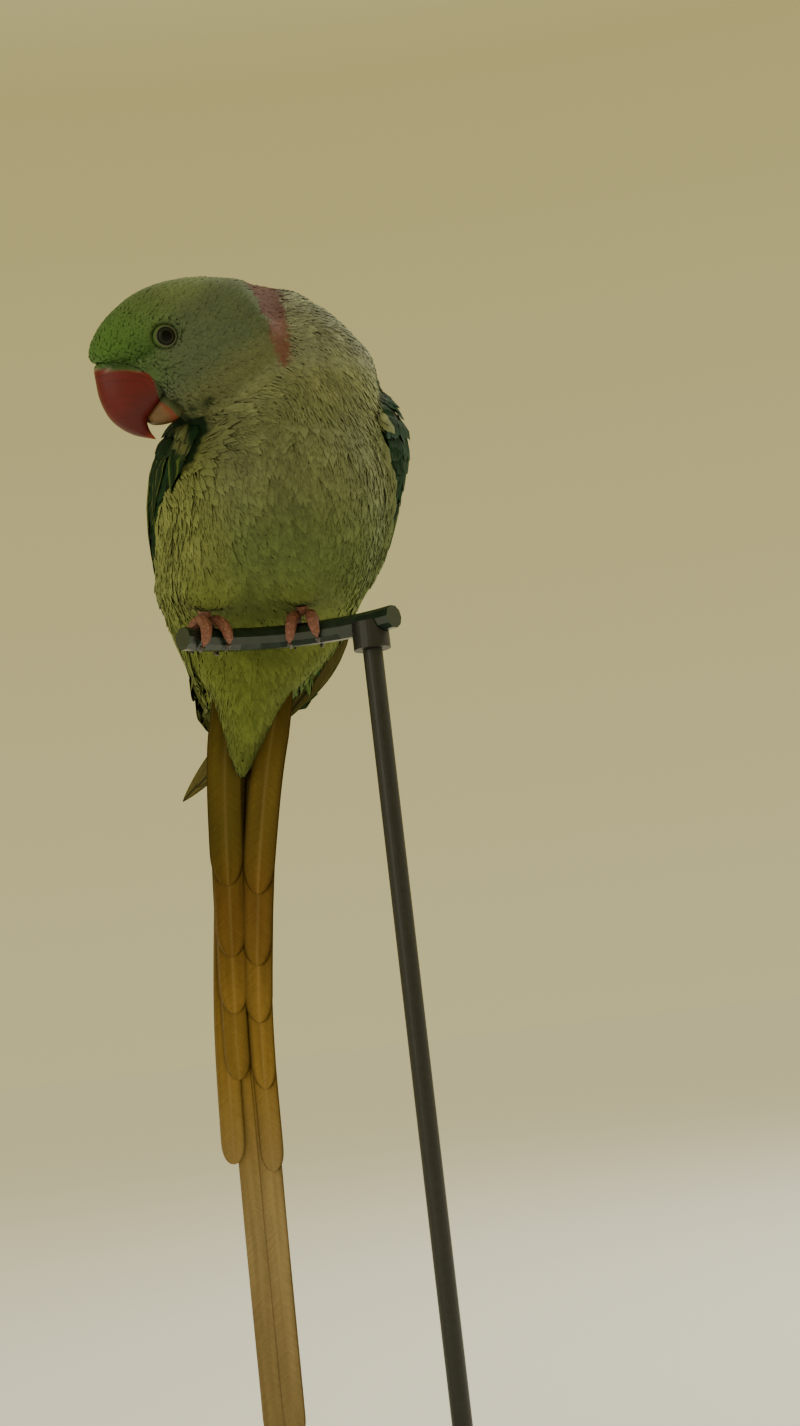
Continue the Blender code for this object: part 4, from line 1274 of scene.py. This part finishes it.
hornTints = tintsOf({"red": "#5f0e11", "warm": "#6d1812", "deep": "#4a0d10", "tip": "#8a3e28",
                     "cere": "#80685a", "nostril": "#2a1712", "lower": "#7c3826", "lowerTip": "#6e5438",
                     "mouthShade": "#1c0c0a"})
for piece in (upperBill, lowerBill):
    place = headPlace(spotsOf(piece.data))
    ahead = beyondEdge(place)
    if piece is lowerBill:
        colour = mixed(plain(hornTints["lower"], place), hornTints["lowerTip"], ease(place[:, 0], 23.0, 27.0))
        # the lower bill's top edge is painted dark: painted shade in the gap under the upper bill
        colour = mixed(colour, hornTints["mouthShade"], ease(place[:, 1], -15.2, -13.8) * 0.8)
    else:
        colour = mixed(plain(hornTints["red"], place), hornTints["warm"], ease(ahead, 4.0, 0.5))
        colour = mixed(colour, hornTints["deep"], ease(place[:, 1], -6, -14) * 0.6)
        colour = mixed(colour, hornTints["tip"], ease(place[:, 1], -20.5, -25))
        # thin bare cere along the feathers
        colour = mixed(colour, hornTints["cere"], ease(ahead, 0.7, 0.3) * (place[:, 1] > -3.5))
        for side in (1, -1):
            nostril = np.linalg.norm(place - np.array([30.7, 7.0, side * 6.0]), axis=1)
            colour = mixed(colour, hornTints["nostril"], ease(nostril, 1.3, 0.6))
    # the root of the horn is under feathers
    colour = mixed(colour, bodyMarkings(spotsOf(piece.data)) * 0.8, ease(ahead, -0.1, -0.5))
    paint(piece.data, colour)
    piece.data.materials.append(billHorn)
print("bill painted")


def paintedMaterial(name, **sockets):
    made, tree, shader = newMaterial(name, **sockets)
    marks = addNode(tree, "ShaderNodeAttribute", {"attribute_name": "plumage"})
    tree.links.new(marks.outputs["Color"], shader.inputs["Base Color"])
    return made


# the eyeball is dark, clear and wet; its lids are bare dry skin
eyeGloss = paintedMaterial("wetEye", Roughness=0.3, Coat_Weight=0.1, Coat_Roughness=0.04,
                           Specular_IOR_Level=0.05)
lidSkin = paintedMaterial("eyelidSkin", Roughness=0.75, Specular_IOR_Level=0.15)


def eyeColours(spots, axis):
    # rings round the eye's axis: pupil, its edge, iris, and the dark of the ball
    tints, iris, pupil = eyeLook["tints"], eyeLook["iris"], eyeLook["pupil"]
    off = np.linalg.norm(spots - np.outer(spots @ axis, axis), axis=1)
    colour = mixed(plain(tints["pupil"], spots), tints["edge"], ease(off, pupil, pupil + 0.25))
    colour = mixed(colour, tints["iris"], 0.6 * ease(off, iris - 0.35, iris - 0.15))
    return mixed(colour, tints["ring"], ease(off, iris - 0.05, iris + 0.15)), off


eyes = []
for label, s in (("left", 1), ("right", -1)):
    centre = inHead(*eyeLook["place"], s * eyeLook["side"])
    turn = Vector((0, 0, 1)).rotation_difference(headSide * s).to_matrix().to_4x4()
    seat = Matrix.Translation(centre * mm) @ turn @ Matrix.Scale(mm, 4)
    shape = bmesh.new()
    bmesh.ops.create_uvsphere(shape, u_segments=40, v_segments=28, radius=eyeLook["radius"])
    bmesh.ops.transform(shape, matrix=seat, verts=shape.verts)
    ball = newPiece(f"eyeball_{label}", shape)
    spots = spotsOf(ball.data)
    colour, off = eyeColours(spots - np.array(centre), np.array(headSide * s))
    # the face closes over the ball outside the lids
    paint(ball.data, mixed(colour, bodyMarkings(spots), ease(off, 3.7, 4.0)))
    ball.data.materials.append(eyeGloss)
    eyes.append(ball)
    # the lids, and a fold of skin round them: round beads turned about the eye's axis
    for part, (out, up, thick, code) in eyeLook["lids"].items():
        shape = bmesh.new()
        bead = Matrix.Translation((out, 0, up)) @ Matrix.Rotation(math.pi / 2, 4, "X")
        bmesh.ops.create_circle(shape, segments=10, radius=thick, matrix=bead)
        bmesh.ops.spin(shape, geom=shape.verts[:] + shape.edges[:], cent=(0, 0, 0), axis=(0, 0, 1),
                       angle=2 * math.pi, steps=40, use_merge=True)
        bmesh.ops.recalc_face_normals(shape, faces=shape.faces)
        bmesh.ops.transform(shape, matrix=seat, verts=shape.verts)
        made = newPiece(f"eye{part}_{label}", shape)
        paint(made.data, plain(np.array(tint(code)[:3]), made.data.vertices))
        made.data.materials.append(lidSkin)
        eyes.append(made)
print("eyes set")


def plainMaterial(name, code, roughness, scale, depth, coat=0.0, scaly=False):
    made, tree, shader = newMaterial(name, Roughness=roughness, Coat_Weight=coat, Coat_Roughness=0.2)
    spot = addNode(tree, "ShaderNodeTexCoord")
    if scaly:
        mottle = addNode(tree, "ShaderNodeTexVoronoi", {"feature": "DISTANCE_TO_EDGE"}, {"Scale": scale},
                         {"Vector": (spot, "Object")})
    else:
        mottle = addNode(tree, "ShaderNodeTexNoise", values={"Scale": scale, "Detail": 5.0},
                         links={"Vector": (spot, "Object")})
    base = tint(code)[:3]
    low = tuple(c * 0.75 for c in base) + (1,)
    high = tuple(min(1, c * 1.25) for c in base) + (1,)
    ramp = addNode(tree, "ShaderNodeValToRGB", links={0: (mottle, 0)})
    setRamp(ramp, ((0.02, low), (0.25, high)) if scaly else ((0.35, low), (0.65, high)))
    tree.links.new(ramp.outputs[0], shader.inputs["Base Color"])
    bump = addNode(tree, "ShaderNodeBump",
                   values={"Strength": depth, "Distance": 0.0006 if scaly else 0.0003},
                   links={"Height": (mottle, 0)})
    tree.links.new(bump.outputs[0], shader.inputs["Normal"])
    return made


# feet: brownish pink skin in small dry scales; claws: dark horn, worn smooth
footSkin = plainMaterial("footScales", "#7d4f42", 0.6, 620, 0.7, scaly=True)
clawHorn = plainMaterial("clawHorn", "#3a332e", 0.35, 400, 0.1, coat=0.3)
# perch: dark green enamel on steel rod; stand: satin black steel on black painted wood
perchPaint = plainMaterial("greenEnamel", "#10231c", 0.3, 300, 0.15, coat=0.4)
rodPaint = plainMaterial("satinBlackSteel", "#1a1a1a", 0.42, 500, 0.05)
basePaint = plainMaterial("blackPaintedWood", "#1c1a18", 0.5, 120, 0.1)

nodeWear = {"perch": perchPaint, "stand_rod": rodPaint, "stand_saddle": rodPaint, "stand_base": basePaint}
for side in ("left", "right"):
    nodeWear[f"foot_{side}"] = footSkin
    for i in range(1, 5):
        nodeWear[f"claw_{side}_{i}"] = clawHorn
for node, material in nodeWear.items():
    nodes[node].data.materials.clear()
    nodes[node].data.materials.append(material)
print("feet, perch and stand painted")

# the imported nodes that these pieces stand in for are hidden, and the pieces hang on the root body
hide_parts(*fleshNodes)
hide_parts("tail")
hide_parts("bill_upper")
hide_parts("bill_lower")
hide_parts("eye_left")
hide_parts("eye_right")
for piece in [skin, *coats, tail, *quills, upperBill, lowerBill, *eyes]:
    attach(piece, "root")
print("pieces placed")

room = {
    "floor": "#f2f2f2", "strength": 0.95, "air": ((0.0, "#d8cd92"), (0.45, "#bfb270"), (0.75, "#f0e6b0")),
    "lamps": {
        "window": {"place": (1.1, 0.5, 1.5), "target": (0, 0, 0.42), "size": 0.8, "power": 22,
                   "colour": (1.0, 0.98, 0.92)},
        "fill": {"place": (-1.3, -1.3, 0.9), "target": (0, 0, 0.35), "size": 1.4, "power": 8,
                 "colour": (1.0, 0.97, 0.88)},
    },
}
shape = bmesh.new()
bmesh.ops.create_grid(shape, x_segments=1, y_segments=1, size=30)
floor = newPiece("floor", shape, smooth=False)
floor.location.z = -0.0002
# floor: pale, matt and even
floor.data.materials.append(newMaterial("paleFloor", Roughness=0.9, Base_Color=tint(room["floor"]))[0])

# a warm dim room, brightest overhead
sky = bpy.data.worlds.new("room")
bpy.context.scene.world = sky
sky.use_nodes = True
air = sky.node_tree
glow = air.nodes["Background"]
spot = addNode(air, "ShaderNodeTexCoord")
split = addNode(air, "ShaderNodeSeparateXYZ", links={"Vector": (spot, "Generated")})
wall = addNode(air, "ShaderNodeValToRGB", links={0: (split, "Z")})
setRamp(wall, [(height, tint(code)) for height, code in room["air"]])
air.links.new(wall.outputs[0], glow.inputs["Color"])
glow.inputs["Strength"].default_value = room["strength"]

for name, look in room["lamps"].items():
    lamp = bpy.data.lights.new(name, "AREA")
    lamp.size = look["size"]
    lamp.energy = look["power"]
    lamp.color = look["colour"]
    made = bpy.data.objects.new(name, lamp)
    world.objects.link(made)
    made.location = look["place"]
    toward = Vector(look["target"]) - Vector(look["place"])
    made.rotation_euler = toward.to_track_quat("-Z", "Y").to_euler()

# rise and roll in degrees; focal and tall in the same unit, so their ratio sets the lens
view = {"place": (0.048, -0.800, 0.205), "rise": 8.95, "roll": 6.7, "focal": 2000.0, "tall": 1426.0,
        "sensor": 36.0}
lens = bpy.data.cameras.new("camera")
camera = bpy.data.objects.new("camera", lens)
world.objects.link(camera)
rise, roll = math.radians(view["rise"]), math.radians(view["roll"])
ahead = Vector((0, math.cos(rise), math.sin(rise)))
upright = Vector((0, -math.sin(rise), math.cos(rise)))
rightward = Vector((1, 0, 0)) * math.cos(roll) - upright * math.sin(roll)
upward = Vector((1, 0, 0)) * math.sin(roll) + upright * math.cos(roll)
camera.matrix_world = Matrix((rightward, upward, -ahead)).transposed().to_4x4()
camera.matrix_world.translation = view["place"]
lens.sensor_fit = "VERTICAL"
lens.sensor_height = view["sensor"]
lens.lens = view["sensor"] * view["focal"] / view["tall"]
lens.clip_start = 0.05
lens.dof.use_dof = False
bpy.context.scene.camera = camera
print("camera and light set")
